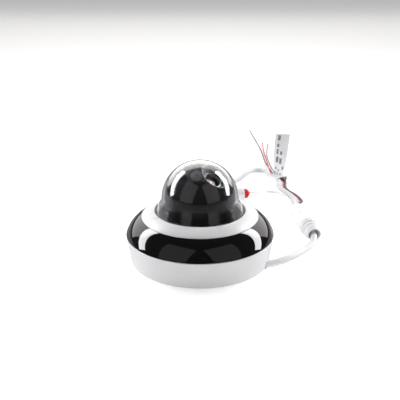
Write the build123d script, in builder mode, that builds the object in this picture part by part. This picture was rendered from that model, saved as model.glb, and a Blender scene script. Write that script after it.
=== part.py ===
from build123d import *
import os
from math import acos, cos, degrees, pi, radians, sin, sqrt, tan

os.makedirs("parts", exist_ok=True)

# Mini pan-tilt dome camera standing on its mounting face, dome up, with its tail of leads.
# Origin: centre of the mounting face. +Z goes up through the dome, -Y is the front.

# Driving dimensions, in millimetres and degrees
BASE_R = 61.2  # white base at the mounting face
SEAM_R = 65.0  # widest, where base and infrared window meet
SEAM_Z = 24.4
WINDOW_TOP_R = 51.2
WINDOW_TOP_Z = 41.0
SHELF_Z = 40.4  # shelf that the bubble's seal lies on
TRIM_BORE_R = 39.4
TRIM_TOP_Z = 46.1
WALL = 2.4
BALL_Z = 56.4  # tilt axis
BALL_R = 31.0
BUBBLE_R = 33.6
BUBBLE_WALL = 1.8
LENS_TURN = 52.0  # how far the lens is panned to the right of the front
LENS_RISE = 55.0  # how far it is tilted up from level
CHEEK_IN = 20.0  # inner face of the yoke's cheeks, from the lens axis
HEAD_HALF = 19.7  # half width of the tilting head
FLOOR_Z = 2.4
PLATE_Z = 0.3
DECK_Z = 16.0  # underside of the chassis deck
POST_RING_R = 45.5
BOSS_RING_R = 54.0
BOARD_Z = 9.0
IR_Z = 29.0
MOUNT_RING_R = 40.0
MOUNT_HOLE_R = 2.25
GEAR_MODULE = 0.8
PAN_TEETH = 60
PAN_PINION_TEETH = 12
TILT_MODULE = 0.6
TILT_TEETH = 40
TILT_PINION_TEETH = 12
SPIGOT_R = 8.0
PIN_R = 2.5
RUN_GAP = 0.05  # radial running clearance
CABLE_D = 6.0
POWER_D = 2.4
NETWORK_D = 5.0
WIRE_D = 1.3

# Frames of the tilting head: t along the tilt axis, u along the lens, v up across the lens
BALL_C = Vector(0, 0, BALL_Z)
t_dir = Vector(cos(radians(LENS_TURN)), sin(radians(LENS_TURN)), 0)
u_dir = Vector(
    cos(radians(LENS_RISE)) * sin(radians(LENS_TURN)),
    -cos(radians(LENS_RISE)) * cos(radians(LENS_TURN)),
    sin(radians(LENS_RISE)),
)
lens_plane = Plane(origin=BALL_C, x_dir=t_dir, z_dir=u_dir)
section_plane = Plane(origin=BALL_C, x_dir=t_dir, z_dir=t_dir.cross(u_dir))
tilt_axis = Axis(BALL_C, t_dir)
lens_axis = Axis(BALL_C, u_dir)


def side_plane(offset):
    """Plane across the tilt axis, offset along it; local x runs along the lens."""
    return Plane(origin=BALL_C + t_dir * offset, x_dir=u_dir, z_dir=t_dir)


def upright_plane(offset):
    """Plane across the tilt axis whose local x is level and local y is up."""
    return Plane(origin=BALL_C + t_dir * offset, x_dir=Vector(-t_dir.Y, t_dir.X, 0), z_dir=t_dir)


def write(builder, name):
    """Label the piece and write it to its own file."""
    builder.part.label = name
    export_step(builder.part, f"parts/{name}.step")


def half_tooth(radius, base_radius, pitch_half, pitch_roll):
    """Half the angle that an involute tooth covers at one radius."""
    pressure = acos(min(1.0, base_radius / radius))
    return pitch_half + pitch_roll - (tan(pressure) - pressure)


def gear_face(plane, centre, teeth, module, turn):
    """Spur gear outline of 20 degree involute teeth, one tooth centred on turn."""
    pitch_r = teeth * module / 2
    base_r = pitch_r * cos(radians(20))
    root_r = pitch_r - 1.2 * module
    tip_r = pitch_r + 0.95 * module
    roll = tan(radians(20)) - radians(20)
    half = pi / (2 * teeth) * 0.86
    low = max(base_r, root_r)
    radii = [low + (tip_r - low) * step / 3 for step in range(4)]
    flank = [(r, half_tooth(r, base_r, half, roll)) for r in radii]
    foot = flank[0][1]
    right = [(root_r - 0.2, -foot)] + [(r, -a) for r, a in flank]
    left = [(r, a) for r, a in reversed(flank)] + [(root_r - 0.2, foot)]
    corners = [(r * cos(a), r * sin(a)) for r, a in right + left]
    with BuildSketch(plane) as outline:
        with Locations(centre):
            Circle(root_r)
            with PolarLocations(0, teeth, start_angle=turn):
                Polygon(*corners, align=None)
    return outline.sketch


# ---- White base shell: tapered wall, recessed floor, screw bosses, cable slot ----
with BuildPart() as base_shell:
    with BuildSketch(Plane.XZ):
        with BuildLine():
            Polyline(
                (0, FLOOR_Z),
                (BASE_R - 3.4, FLOOR_Z),
                (BASE_R - 3.4, 0),
                (BASE_R, 0),
                (SEAM_R, SEAM_Z),
                (SEAM_R - WALL - 0.2, SEAM_Z),
                (BASE_R - WALL - 0.1, FLOOR_Z + 2.2),
                (0, FLOOR_Z + 2.2),
                close=True,
            )
        make_face()
    revolve(axis=Axis.Z)
    foot_edge = base_shell.edges().filter_by(GeomType.CIRCLE).group_by(Axis.Z)[0].sort_by(SortBy.RADIUS)[-1]
    fillet(foot_edge, 1.4)
    with BuildSketch(Plane.XY.offset(FLOOR_Z + 2.0)):
        with PolarLocations(BOSS_RING_R, 4, start_angle=0):
            Circle(3.3)
    extrude(amount=SEAM_Z - FLOOR_Z - 2.4)
    with BuildSketch(Plane.XY.offset(FLOOR_Z + 2.0)):
        with PolarLocations(POST_RING_R, 4, start_angle=45):
            Circle(3.4)
    extrude(amount=BOARD_Z - FLOOR_Z - 2.0)
    with BuildSketch(Plane.XY.offset(FLOOR_Z - 0.5)):
        with PolarLocations(BOSS_RING_R, 4, start_angle=0):
            Circle(1.6)
    extrude(amount=SEAM_Z, mode=Mode.SUBTRACT)
    with BuildSketch(Plane.XY.offset(FLOOR_Z - 0.5)):
        with PolarLocations(BOSS_RING_R, 4, start_angle=0):
            Circle(2.9)
    extrude(amount=6.0, mode=Mode.SUBTRACT)
    with BuildSketch(Plane.XY.offset(FLOOR_Z + 2.6)):
        with PolarLocations(POST_RING_R, 4, start_angle=45):
            Circle(1.25)
    extrude(amount=10, mode=Mode.SUBTRACT)
    with BuildSketch(Plane.XY.offset(FLOOR_Z - 0.5)):
        with PolarLocations(MOUNT_RING_R, 4, start_angle=22.5):
            Circle(4.6)
    extrude(amount=4, mode=Mode.SUBTRACT)
    with BuildSketch(Plane.XY.offset(FLOOR_Z - 0.5)):
        with PolarLocations(30.0, 3, start_angle=90):
            Circle(1.25)
    extrude(amount=4, mode=Mode.SUBTRACT)
    with BuildSketch(Plane.XY.offset(-1)):
        with Locations(Location((55.0, -21.05), 11.0)):
            Rectangle(24.0, 9.0)
    extrude(amount=8.2, mode=Mode.SUBTRACT)
write(base_shell, "base_shell")

# ---- Steel mounting plate: screwed to the ceiling first, the camera goes onto it ----
with BuildPart() as mounting_plate:
    with BuildSketch(Plane.XY.offset(PLATE_Z)):
        Circle(BASE_R - 3.7)
        with PolarLocations(MOUNT_RING_R, 4, start_angle=22.5):
            Circle(MOUNT_HOLE_R, mode=Mode.SUBTRACT)
        with PolarLocations(30.0, 3, start_angle=90):
            Circle(1.6, mode=Mode.SUBTRACT)
        with PolarLocations(50.0, 3, start_angle=30):
            SlotOverall(9.0, 4.4, rotation=90, mode=Mode.SUBTRACT)
        Circle(11.0, mode=Mode.SUBTRACT)
        with Locations(Location((55.0, -21.05), 11.0)):
            Rectangle(24.6, 9.6, mode=Mode.SUBTRACT)
    extrude(amount=1.8)
write(mounting_plate, "mounting_plate")

with BuildPart() as plate_screws:
    with BuildSketch(Plane.XY.offset(PLATE_Z + 1.8)):
        with PolarLocations(30.0, 3, start_angle=90):
            Circle(1.2)
    extrude(amount=2.2)
    with BuildSketch(Plane.XY.offset(PLATE_Z - 0.2)):
        with PolarLocations(30.0, 3, start_angle=90):
            Circle(1.55)
    extrude(amount=2.0)
write(plate_screws, "plate_screws")

# ---- Cable gland: rubber block that fills the slot in the base wall ----
gland_plane = Plane(origin=(55.0, -21.05, PLATE_Z), x_dir=(cos(radians(11)), sin(radians(11)), 0), z_dir=(0, 0, 1))
with BuildPart() as cable_gland:
    with BuildSketch(gland_plane):
        with Locations((-5.0, 0)):
            Rectangle(13.6, 8.8)
    extrude(amount=6.7)
    with BuildSketch(Plane(origin=(62.5, -19.6, 3.1), z_dir=(-15.5, -3.0, 0.1))):
        Circle(CABLE_D / 2)
    extrude(amount=15.78, mode=Mode.SUBTRACT)
write(cable_gland, "cable_gland")

# ---- Main circuit board with its chips, headers, capacitors and heat sink ----
with BuildPart() as main_board:
    with BuildSketch(Plane.XY.offset(BOARD_Z)):
        Circle(50.0)
        with PolarLocations(POST_RING_R, 4, start_angle=45):
            Circle(1.5, mode=Mode.SUBTRACT)
        with Locations((-28.8, 0)):
            SlotOverall(32.0, 22.0, rotation=90, mode=Mode.SUBTRACT)
        with Locations((48.0, -21.0)):
            Rectangle(20.0, 14.0, mode=Mode.SUBTRACT)
    extrude(amount=1.6)
write(main_board, "main_board")

with BuildPart() as board_chips:
    with BuildSketch(Plane.XY.offset(BOARD_Z + 1.6)):
        with Locations((12, 14)):
            RectangleRounded(15.0, 15.0, 0.6)
        with Locations((12, -6), (30, 14)):
            Rectangle(8.0, 10.0)
    extrude(amount=1.4)
write(board_chips, "board_chips")

with BuildPart() as heat_sink:
    with BuildSketch(Plane.XY.offset(BOARD_Z + 3.0)):
        with Locations((12, 14)):
            Rectangle(20.0, 20.0)
    extrude(amount=1.0)
    with BuildSketch(Plane.XY.offset(BOARD_Z + 4.0)):
        with Locations((12, 14)):
            with GridLocations(3.1, 0, 7, 1):
                Rectangle(1.0, 20.0)
    extrude(amount=2.2)
write(heat_sink, "heat_sink")

with BuildPart() as capacitors:
    with BuildSketch(Plane.XY.offset(BOARD_Z + 1.6)):
        with Locations((4, -30), (12, -30), (20, -30)):
            Circle(2.5)
    extrude(amount=4.6)
    cap_tops = capacitors.edges().filter_by(GeomType.CIRCLE).group_by(Axis.Z)[-1]
    fillet(cap_tops, 0.4)
write(capacitors, "capacitors")

with BuildPart() as board_header:
    with BuildSketch(Plane.XY.offset(BOARD_Z + 1.6)):
        with Locations((34.0, -20.0)):
            Rectangle(6.0, 14.0)
    extrude(amount=4.4)
write(board_header, "board_header")

# Short bundle from the gland to the board header
with BuildPart() as inner_harness:
    harness_start = gland_plane.from_local_coords(Vector(-11.8, 0, 5.5))
    harness_turn = gland_plane.from_local_coords(Vector(-14.6, 0, 5.5))
    with BuildLine():
        FilletPolyline(harness_start, harness_turn, (40.2, -22.6, 12.8), (37.0, -22.6, 12.8), radius=1.3)
    with BuildSketch(Plane(origin=harness_start, z_dir=harness_turn - harness_start)):
        Circle(1.0)
    sweep()
write(inner_harness, "inner_harness")

# ---- Chassis: aluminium deck on posts, carrying the pan spigot ----
with BuildPart() as chassis_deck:
    with BuildSketch(Plane.XY.offset(DECK_Z)):
        Circle(49.5)
        with PolarLocations(POST_RING_R, 4, start_angle=45):
            Circle(1.4, mode=Mode.SUBTRACT)
        with Locations((-28.8, 0)):
            Circle(4.3, mode=Mode.SUBTRACT)
        with Locations((-28.8, 13.0), (-28.8, -13.0)):
            Circle(1.1, mode=Mode.SUBTRACT)
        with PolarLocations(38.0, 2, start_angle=0, angular_range=90):
            SlotOverall(16.0, 7.0, rotation=90, mode=Mode.SUBTRACT)
    extrude(amount=2.0)
    with BuildSketch(Plane.XY.offset(DECK_Z + 2.0)):
        Circle(SPIGOT_R)
    extrude(amount=6.3)
    with BuildSketch(Plane.XY.offset(DECK_Z - 0.5)):
        Circle(5.0)
    extrude(amount=10, mode=Mode.SUBTRACT)
write(chassis_deck, "chassis_deck")

with BuildPart() as chassis_posts:
    with BuildSketch(Plane.XY.offset(BOARD_Z + 1.6)):
        with PolarLocations(POST_RING_R, 4, start_angle=45):
            RegularPolygon(3.2, 6)
    extrude(amount=DECK_Z - BOARD_Z - 1.6)
    with BuildSketch(Plane.XY.offset(5.6)):
        with PolarLocations(POST_RING_R, 4, start_angle=45):
            Circle(1.2)
    extrude(amount=BOARD_Z - 4.0)
    with BuildSketch(Plane.XY.offset(12.4)):
        with PolarLocations(POST_RING_R, 4, start_angle=45):
            Circle(1.25)
    extrude(amount=8, mode=Mode.SUBTRACT)
write(chassis_posts, "chassis_posts")

with BuildPart() as led_posts:
    with BuildSketch(Plane.XY.offset(DECK_Z + 2.0)):
        with PolarLocations(POST_RING_R, 4, start_angle=45):
            RegularPolygon(3.2, 6)
    extrude(amount=IR_Z - DECK_Z - 2.0)
    with BuildSketch(Plane.XY.offset(12.8)):
        with PolarLocations(POST_RING_R, 4, start_angle=45):
            Circle(1.2)
    extrude(amount=6)
    with BuildSketch(Plane.XY.offset(IR_Z - 5)):
        with PolarLocations(POST_RING_R, 4, start_angle=45):
            Circle(1.25)
    extrude(amount=8, mode=Mode.SUBTRACT)
write(led_posts, "led_posts")

# ---- Infrared lamp ring: annular board, lamps and the screws that hold it ----
with BuildPart() as led_board:
    with BuildSketch(Plane.XY.offset(IR_Z)):
        Circle(50.2)
        Circle(38.0, mode=Mode.SUBTRACT)
        with PolarLocations(POST_RING_R, 4, start_angle=45):
            Circle(1.4, mode=Mode.SUBTRACT)
    extrude(amount=1.4)
write(led_board, "led_board")

with BuildPart() as led_lamps:
    with BuildSketch(Plane.XY.offset(IR_Z + 1.4)):
        with PolarLocations(44.5, 12, start_angle=0):
            Rectangle(4.0, 4.0)
    extrude(amount=1.2)
    with BuildSketch(Plane.XY.offset(IR_Z + 2.6)):
        with PolarLocations(44.5, 12, start_angle=0):
            Circle(1.7)
    extrude(amount=1.5)
    lamp_tops = led_lamps.edges().filter_by(GeomType.CIRCLE).group_by(Axis.Z)[-1]
    fillet(lamp_tops, 1.2)
write(led_lamps, "led_lamps")

with BuildPart() as led_screws:
    with BuildSketch(Plane.XY.offset(IR_Z + 1.4)):
        with PolarLocations(POST_RING_R, 4, start_angle=45):
            Circle(2.2)
    extrude(amount=1.4)
    with BuildSketch(Plane.XY.offset(IR_Z - 4.0)):
        with PolarLocations(POST_RING_R, 4, start_angle=45):
            Circle(1.2)
    extrude(amount=5.4)
    with BuildSketch(Plane.XY.offset(IR_Z + 1.9)):
        with PolarLocations(POST_RING_R, 4, start_angle=45):
            Rectangle(2.6, 0.5)
            Rectangle(0.5, 2.6)
    extrude(amount=2, mode=Mode.SUBTRACT)
write(led_screws, "led_screws")

# ---- Gasket, infrared window band and the screws that pull them onto the base ----
with BuildPart() as seam_gasket:
    with BuildSketch(Plane.XY.offset(SEAM_Z - 0.5)):
        Circle(SEAM_R - WALL - 0.5)
        Circle(SEAM_R - WALL - 2.3, mode=Mode.SUBTRACT)
    extrude(amount=0.9)
write(seam_gasket, "seam_gasket")

with BuildPart() as window_band:
    with BuildSketch(Plane.XZ):
        with BuildLine():
            ThreePointArc((SEAM_R, SEAM_Z), (59.5, 34.0), (WINDOW_TOP_R, WINDOW_TOP_Z - 0.6))
            Polyline(
                (WINDOW_TOP_R, SHELF_Z),
                (TRIM_BORE_R + 0.8, SHELF_Z),
                (TRIM_BORE_R + 0.8, SHELF_Z - 2.0),
                (49.9, SHELF_Z - 2.0),
            )
            ThreePointArc((49.9, SHELF_Z - 2.0), (57.4, 32.5), (SEAM_R - WALL - 0.2, SEAM_Z + 0.4))
            Polyline(
                (SEAM_R - WALL - 0.2, SEAM_Z + 0.4),
                (SEAM_R - WALL - 0.2, SEAM_Z),
                (SEAM_R, SEAM_Z),
            )
        make_face()
    revolve(axis=Axis.Z)
    with BuildSketch(Plane.XY.offset(SEAM_Z - 0.2)):
        with PolarLocations(BOSS_RING_R, 4, start_angle=0):
            Circle(3.0)
    extrude(amount=11.6)
    with BuildSketch(Plane.XY.offset(SEAM_Z - 1)):
        with PolarLocations(BOSS_RING_R, 4, start_angle=0):
            Circle(1.25)
    extrude(amount=9, mode=Mode.SUBTRACT)
    with BuildSketch(Plane.XY.offset(SHELF_Z - 3)):
        with PolarLocations(48.3, 6, start_angle=30):
            Circle(1.1)
    extrude(amount=6, mode=Mode.SUBTRACT)
write(window_band, "window_band")

with BuildPart() as case_screws:
    with BuildSketch(Plane.XY.offset(FLOOR_Z + 3.9)):
        with PolarLocations(BOSS_RING_R, 4, start_angle=0):
            Circle(2.7)
    extrude(amount=1.6)
    with BuildSketch(Plane.XY.offset(FLOOR_Z + 5.5)):
        with PolarLocations(BOSS_RING_R, 4, start_angle=0):
            Circle(1.2)
    extrude(amount=22.0)
write(case_screws, "case_screws")

# ---- Clear bubble on its seal, held down by the white trim ring ----
skirt_top_z = BALL_Z - 1.2
skirt_r = sqrt(BUBBLE_R**2 - 1.2**2)
inner_r = BUBBLE_R - BUBBLE_WALL
skirt_in_r = sqrt(inner_r**2 - 1.2**2)
with BuildPart() as bubble:
    with BuildSketch(Plane.XZ):
        with BuildLine():
            CenterArc((0, BALL_Z), BUBBLE_R, degrees(-1.2 / BUBBLE_R), 90 + degrees(1.2 / BUBBLE_R))
            Line((0, BALL_Z + BUBBLE_R), (0, BALL_Z + inner_r))
            CenterArc((0, BALL_Z), inner_r, degrees(-1.2 / inner_r), 90 + degrees(1.2 / inner_r))
            outer_top = (BUBBLE_R * cos(1.2 / BUBBLE_R), BALL_Z - BUBBLE_R * sin(1.2 / BUBBLE_R))
            inner_top = (inner_r * cos(1.2 / inner_r), BALL_Z - inner_r * sin(1.2 / inner_r))
            Polyline(
                inner_top,
                (37.3, TRIM_TOP_Z - 0.9),
                (37.3, SHELF_Z + 1.2),
                (45.2, SHELF_Z + 1.2),
                (45.2, SHELF_Z + 3.0),
                (39.1, SHELF_Z + 3.0),
                (39.1, TRIM_TOP_Z - 0.8),
                outer_top,
            )
        make_face()
    revolve(axis=Axis.Z)
write(bubble, "bubble")

with BuildPart() as bubble_seal:
    with BuildSketch(Plane.XY.offset(SHELF_Z)):
        Circle(44.6)
        Circle(41.0, mode=Mode.SUBTRACT)
    extrude(amount=1.2)
write(bubble_seal, "bubble_seal")

with BuildPart() as trim_ring:
    with BuildSketch(Plane.XZ):
        with BuildLine():
            Polyline(
                (WINDOW_TOP_R - 0.1, WINDOW_TOP_Z + 0.1),
                (WINDOW_TOP_R - 0.1, SHELF_Z),
                (45.6, SHELF_Z),
                (45.6, SHELF_Z + 3.0),
                (TRIM_BORE_R, SHELF_Z + 3.0),
                (TRIM_BORE_R, TRIM_TOP_Z - 0.7),
                (TRIM_BORE_R + 0.9, TRIM_TOP_Z),
            )
            ThreePointArc(
                (TRIM_BORE_R + 0.9, TRIM_TOP_Z),
                (46.1, 44.15),
                (WINDOW_TOP_R - 0.1, WINDOW_TOP_Z + 0.1),
            )
        make_face()
    revolve(axis=Axis.Z)
    with BuildSketch(Plane.XY.offset(SHELF_Z - 0.5)):
        with PolarLocations(48.3, 6, start_angle=30):
            Circle(0.9)
    extrude(amount=2.2, mode=Mode.SUBTRACT)
write(trim_ring, "trim_ring")

with BuildPart() as trim_screws:
    with BuildSketch(Plane.XY.offset(SHELF_Z - 3.2)):
        with PolarLocations(48.3, 6, start_angle=30):
            Circle(1.7)
    extrude(amount=1.2)
    with BuildSketch(Plane.XY.offset(SHELF_Z - 2.0)):
        with PolarLocations(48.3, 6, start_angle=30):
            Circle(0.88)
    extrude(amount=3.5)
write(trim_screws, "trim_screws")

# Dark funnel that hides the works around the ball
with BuildPart() as inner_liner:
    with BuildSketch(Plane.XZ):
        with BuildLine():
            Polyline(
                (36.9, 43.6),
                (36.9, 38.4),
                (43.6, 38.4),
                (43.6, 37.4),
                (36.6, 37.4),
                (32.4, 33.6),
                (31.4, 34.2),
                (35.7, 38.6),
                (35.7, 43.6),
                close=True,
            )
        make_face()
    revolve(axis=Axis.Z)
write(inner_liner, "inner_liner")

# ---- Pan drive: motor under the deck, pinion, ring gear and turntable ----
pan_centre_x = -(PAN_TEETH + PAN_PINION_TEETH) * GEAR_MODULE / 2
with BuildPart() as pan_motor:
    with BuildSketch(Plane.XY.offset(6.4)):
        with Locations((pan_centre_x, 0)):
            Circle(10.0)
    extrude(amount=DECK_Z - 6.4)
    motor_edge = pan_motor.edges().filter_by(GeomType.CIRCLE).group_by(Axis.Z)[0]
    fillet(motor_edge, 0.8)
    with BuildSketch(Plane.XY.offset(DECK_Z - 1.0)):
        with Locations((pan_centre_x, 0)):
            SlotCenterToCenter(26.0, 6.4, rotation=90)
    extrude(amount=1.0)
    with BuildSketch(Plane.XY.offset(DECK_Z)):
        with Locations((pan_centre_x, 0)):
            Circle(4.0)
    extrude(amount=1.6)
    with BuildSketch(Plane.XY.offset(9.0)):
        with Locations((pan_centre_x, 0)):
            Circle(1.25 + RUN_GAP)
    extrude(amount=12, mode=Mode.SUBTRACT)
    with BuildSketch(Plane.XY.offset(DECK_Z - 2)):
        with Locations((pan_centre_x, 13.0), (pan_centre_x, -13.0)):
            Circle(0.9)
    extrude(amount=4, mode=Mode.SUBTRACT)
write(pan_motor, "pan_motor")

with BuildPart() as motor_screws:
    with BuildSketch(Plane.XY.offset(DECK_Z + 2.0)):
        with Locations((pan_centre_x, 13.0), (pan_centre_x, -13.0)):
            Circle(1.8)
    extrude(amount=1.2)
    with BuildSketch(Plane.XY.offset(DECK_Z - 1.0)):
        with Locations((pan_centre_x, 13.0), (pan_centre_x, -13.0)):
            Circle(0.88)
    extrude(amount=3.0)
write(motor_screws, "motor_screws")

with BuildPart() as pan_pinion:
    teeth = gear_face(Plane.XY.offset(18.7), (pan_centre_x, 0), PAN_PINION_TEETH, GEAR_MODULE, 180 / PAN_PINION_TEETH)
    extrude(teeth, amount=2.4)
    with BuildSketch(Plane.XY.offset(9.6)):
        with Locations((pan_centre_x, 0)):
            Circle(1.25)
    extrude(amount=9.4)
write(pan_pinion, "pan_pinion")

with BuildPart() as pan_gear:
    extrude(gear_face(Plane.XY.offset(18.6), (0, 0), PAN_TEETH, GEAR_MODULE, 180), amount=2.6)
    with BuildSketch(Plane.XY.offset(18)):
        Circle(12.0)
    extrude(amount=4, mode=Mode.SUBTRACT)
write(pan_gear, "pan_gear")

with BuildPart() as turntable:
    with BuildSketch(Plane.XY.offset(18.2)):
        Circle(12.0)
    extrude(amount=3.0)
    with BuildSketch(Plane.XY.offset(21.2)):
        Circle(27.5)
    extrude(amount=3.0)
    with BuildSketch(Plane.XY.offset(18)):
        Circle(SPIGOT_R + RUN_GAP)
    extrude(amount=8, mode=Mode.SUBTRACT)
    with BuildSketch(Plane.XY.offset(20)):
        with Locations(Location((0, 0), LENS_TURN)):
            with GridLocations(43.0, 14.0, 2, 2):
                Circle(0.9)
    extrude(amount=8, mode=Mode.SUBTRACT)
write(turntable, "turntable")

with BuildPart() as pan_retainer:
    with BuildSketch(Plane.XY.offset(24.3)):
        Circle(10.4)
        Circle(5.0, mode=Mode.SUBTRACT)
    extrude(amount=0.9)
write(pan_retainer, "pan_retainer")

# ---- Yoke: two side plates that stand on the turntable ----
with BuildPart() as yoke_plates:
    for offset in (CHEEK_IN, -CHEEK_IN - 3.0):
        with BuildSketch(upright_plane(offset)):
            Circle(17.6)
            with Locations((0, -(BALL_Z - 24.2) / 2)):
                Rectangle(20.0, BALL_Z - 24.2)
            Circle(PIN_R, mode=Mode.SUBTRACT)
        extrude(amount=3.0)
    with BuildSketch(Plane.XY.offset(24.2)):
        with Locations(Location((0, 0), LENS_TURN)):
            with GridLocations(43.4, 0, 2, 1):
                Rectangle(5.0, 20.0)
    extrude(amount=2.0)
    with BuildSketch(Plane.XY.offset(20)):
        with Locations(Location((0, 0), LENS_TURN)):
            with GridLocations(43.0, 14.0, 2, 2):
                Circle(0.9)
    extrude(amount=9.5, mode=Mode.SUBTRACT)
write(yoke_plates, "yoke_plates")

with BuildPart() as yoke_screws:
    with BuildSketch(Plane.XY.offset(22.0)):
        with Locations(Location((0, 0), LENS_TURN)):
            with GridLocations(43.0, 14.0, 2, 2):
                Circle(0.88)
    extrude(amount=6.5)
write(yoke_screws, "yoke_screws")

# Rounded cheek caps that complete the ball over the yoke's side plates
cap_skin = BALL_R - 1.3
cap_rim_out = sqrt(BALL_R**2 - CHEEK_IN**2)
cap_rim_in = sqrt(cap_skin**2 - CHEEK_IN**2)
with BuildPart() as cheek_caps:
    with BuildSketch(section_plane):
        with BuildLine():
            CenterArc((0, 0), BALL_R, 0, degrees(acos(CHEEK_IN / BALL_R)))
            Line((CHEEK_IN, cap_rim_out), (CHEEK_IN, cap_rim_in))
            CenterArc((0, 0), cap_skin, 0, degrees(acos(CHEEK_IN / cap_skin)))
            Line((cap_skin, 0), (BALL_R, 0))
        make_face()
    revolve(axis=tilt_axis)
    mirror(about=Plane(origin=BALL_C, z_dir=t_dir))
    with BuildSketch(Plane.XY.offset(20)):
        with Locations(Location((0, 0), LENS_TURN)):
            with GridLocations(43.4, 0, 2, 1):
                Rectangle(5.6, 20.8)
    extrude(amount=22, mode=Mode.SUBTRACT)
write(cheek_caps, "cheek_caps")

# ---- Tilt pins, fixed gear and tilt drive ----
with BuildPart() as tilt_pins:
    for start, head_start in ((12.0, CHEEK_IN + 3.0), (-CHEEK_IN - 3.0, -CHEEK_IN - 4.2)):
        with BuildSketch(side_plane(start)):
            Circle(PIN_R)
        extrude(amount=CHEEK_IN + 3.0 - 12.0)
        with BuildSketch(side_plane(head_start)):
            Circle(PIN_R + 1.5)
        extrude(amount=1.2)
write(tilt_pins, "tilt_pins")

with BuildPart() as tilt_gear:
    extrude(gear_face(side_plane(17.5), (0, 0), TILT_TEETH, TILT_MODULE, 180), amount=2.5)
    with BuildSketch(side_plane(17)):
        Circle(PIN_R)
    extrude(amount=4, mode=Mode.SUBTRACT)
write(tilt_gear, "tilt_gear")

tilt_centre = -(TILT_TEETH + TILT_PINION_TEETH) * TILT_MODULE / 2
with BuildPart() as tilt_pinion:
    teeth = gear_face(side_plane(17.6), (tilt_centre, 0), TILT_PINION_TEETH, TILT_MODULE, 180 / TILT_PINION_TEETH)
    extrude(teeth, amount=2.0)
    with BuildSketch(side_plane(9.6)):
        with Locations((tilt_centre, 0)):
            Circle(1.0)
    extrude(amount=8.4)
write(tilt_pinion, "tilt_pinion")

with BuildPart() as tilt_motor:
    with BuildSketch(side_plane(3.6)):
        with Locations((tilt_centre, 0)):
            Circle(6.8)
    extrude(amount=11.6)
    with BuildSketch(side_plane(9.0)):
        with Locations((tilt_centre, 0)):
            Circle(1.0 + RUN_GAP)
    extrude(amount=12, mode=Mode.SUBTRACT)
write(tilt_motor, "tilt_motor")

# ---- Tilting head: two half shells, side walls with bushes for the pins ----
head_skin = BALL_R - 1.5
slab_out = sqrt(BALL_R**2 - HEAD_HALF**2)
slab_in = sqrt(head_skin**2 - HEAD_HALF**2)
slab_angle_out = degrees(acos(HEAD_HALF / BALL_R))
slab_angle_in = degrees(acos(HEAD_HALF / head_skin))
wall_out = 16.9
wall_in = 15.3
SPLIT_U = -2.0
for keep, name in ((Keep.TOP, "head_front"), (Keep.BOTTOM, "head_rear")):
    with BuildPart() as head:
        with BuildSketch(section_plane):
            with BuildLine():
                CenterArc((0, 0), BALL_R, slab_angle_out, 180 - 2 * slab_angle_out)
                Line((HEAD_HALF, slab_out), (HEAD_HALF, slab_in))
                CenterArc((0, 0), head_skin, slab_angle_in, 180 - 2 * slab_angle_in)
                Line((-HEAD_HALF, slab_in), (-HEAD_HALF, slab_out))
            make_face()
        revolve(axis=tilt_axis)
        for offset in (wall_in, -wall_out):
            wall_r = sqrt(head_skin**2 - wall_out**2) + 0.6
            with BuildSketch(side_plane(offset)):
                Circle(wall_r)
            extrude(amount=wall_out - wall_in)
        with BuildSketch(side_plane(12.4)):
            Circle(5.0)
        extrude(amount=3.2)
        with BuildSketch(side_plane(-15.6)):
            Circle(5.0)
        extrude(amount=3.2)
        with BuildSketch(side_plane(-25)):
            Circle(PIN_R + RUN_GAP)
        extrude(amount=50, mode=Mode.SUBTRACT)
        with BuildSketch(side_plane(14)):
            with Locations((tilt_centre, 0)):
                Circle(1.6)
        extrude(amount=4, mode=Mode.SUBTRACT)
        with BuildSketch(lens_plane.offset(15)):
            Circle(12.6)
        extrude(amount=20, mode=Mode.SUBTRACT)
        split(bisect_by=lens_plane.offset(SPLIT_U if keep == Keep.TOP else SPLIT_U - 0.15), keep=keep)
    write(head, name)

# ---- Camera module: bezel, barrel, retaining ring, front element, holder, sensor board ----
with BuildPart() as lens_bezel:
    with BuildSketch(section_plane):
        with BuildLine():
            Polyline(
                (12.55, 28.1),
                (12.0, 28.6),
                (8.2, 22.6),
                (8.2, 20.8),
                (9.2, 20.8),
                (9.2, 22.0),
                (12.55, 26.2),
                close=True,
            )
        make_face()
    revolve(axis=lens_axis)
write(lens_bezel, "lens_bezel")

with BuildPart() as lens_barrel:
    with BuildSketch(lens_plane.offset(4.0)):
        Circle(8.1)
    extrude(amount=17.5)
    with BuildSketch(lens_plane.offset(15.0)):
        Circle(6.6)
    extrude(amount=8, mode=Mode.SUBTRACT)
    with BuildSketch(lens_plane.offset(3.0)):
        Circle(4.4)
    extrude(amount=14, mode=Mode.SUBTRACT)
write(lens_barrel, "lens_barrel")

with BuildPart() as lens_ring:
    with BuildSketch(lens_plane.offset(21.5)):
        Circle(8.1)
        Circle(6.7, mode=Mode.SUBTRACT)
    extrude(amount=2.2)
write(lens_ring, "lens_ring")

GLASS_TOP = 22.5
GLASS_R = (6.55**2 + (GLASS_TOP - 20.2) ** 2) / (2 * (GLASS_TOP - 20.2))
with BuildPart() as lens_glass:
    with BuildSketch(section_plane):
        with BuildLine():
            Line((0, 17.4), (6.55, 17.4))
            Line((6.55, 17.4), (6.55, 20.2))
            ThreePointArc((6.55, 20.2), (3.35, GLASS_TOP - GLASS_R + sqrt(GLASS_R**2 - 3.35**2)), (0, GLASS_TOP))
            Line((0, GLASS_TOP), (0, 17.4))
        make_face()
    revolve(axis=lens_axis)
write(lens_glass, "lens_glass")

with BuildPart() as lens_holder:
    with BuildSketch(lens_plane.offset(-1.0)):
        RectangleRounded(20.0, 20.0, 2.0)
    extrude(amount=5.0)
    with BuildSketch(lens_plane.offset(-2.0)):
        Rectangle(11.0, 11.0)
    extrude(amount=8.0, mode=Mode.SUBTRACT)
write(lens_holder, "lens_holder")

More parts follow.
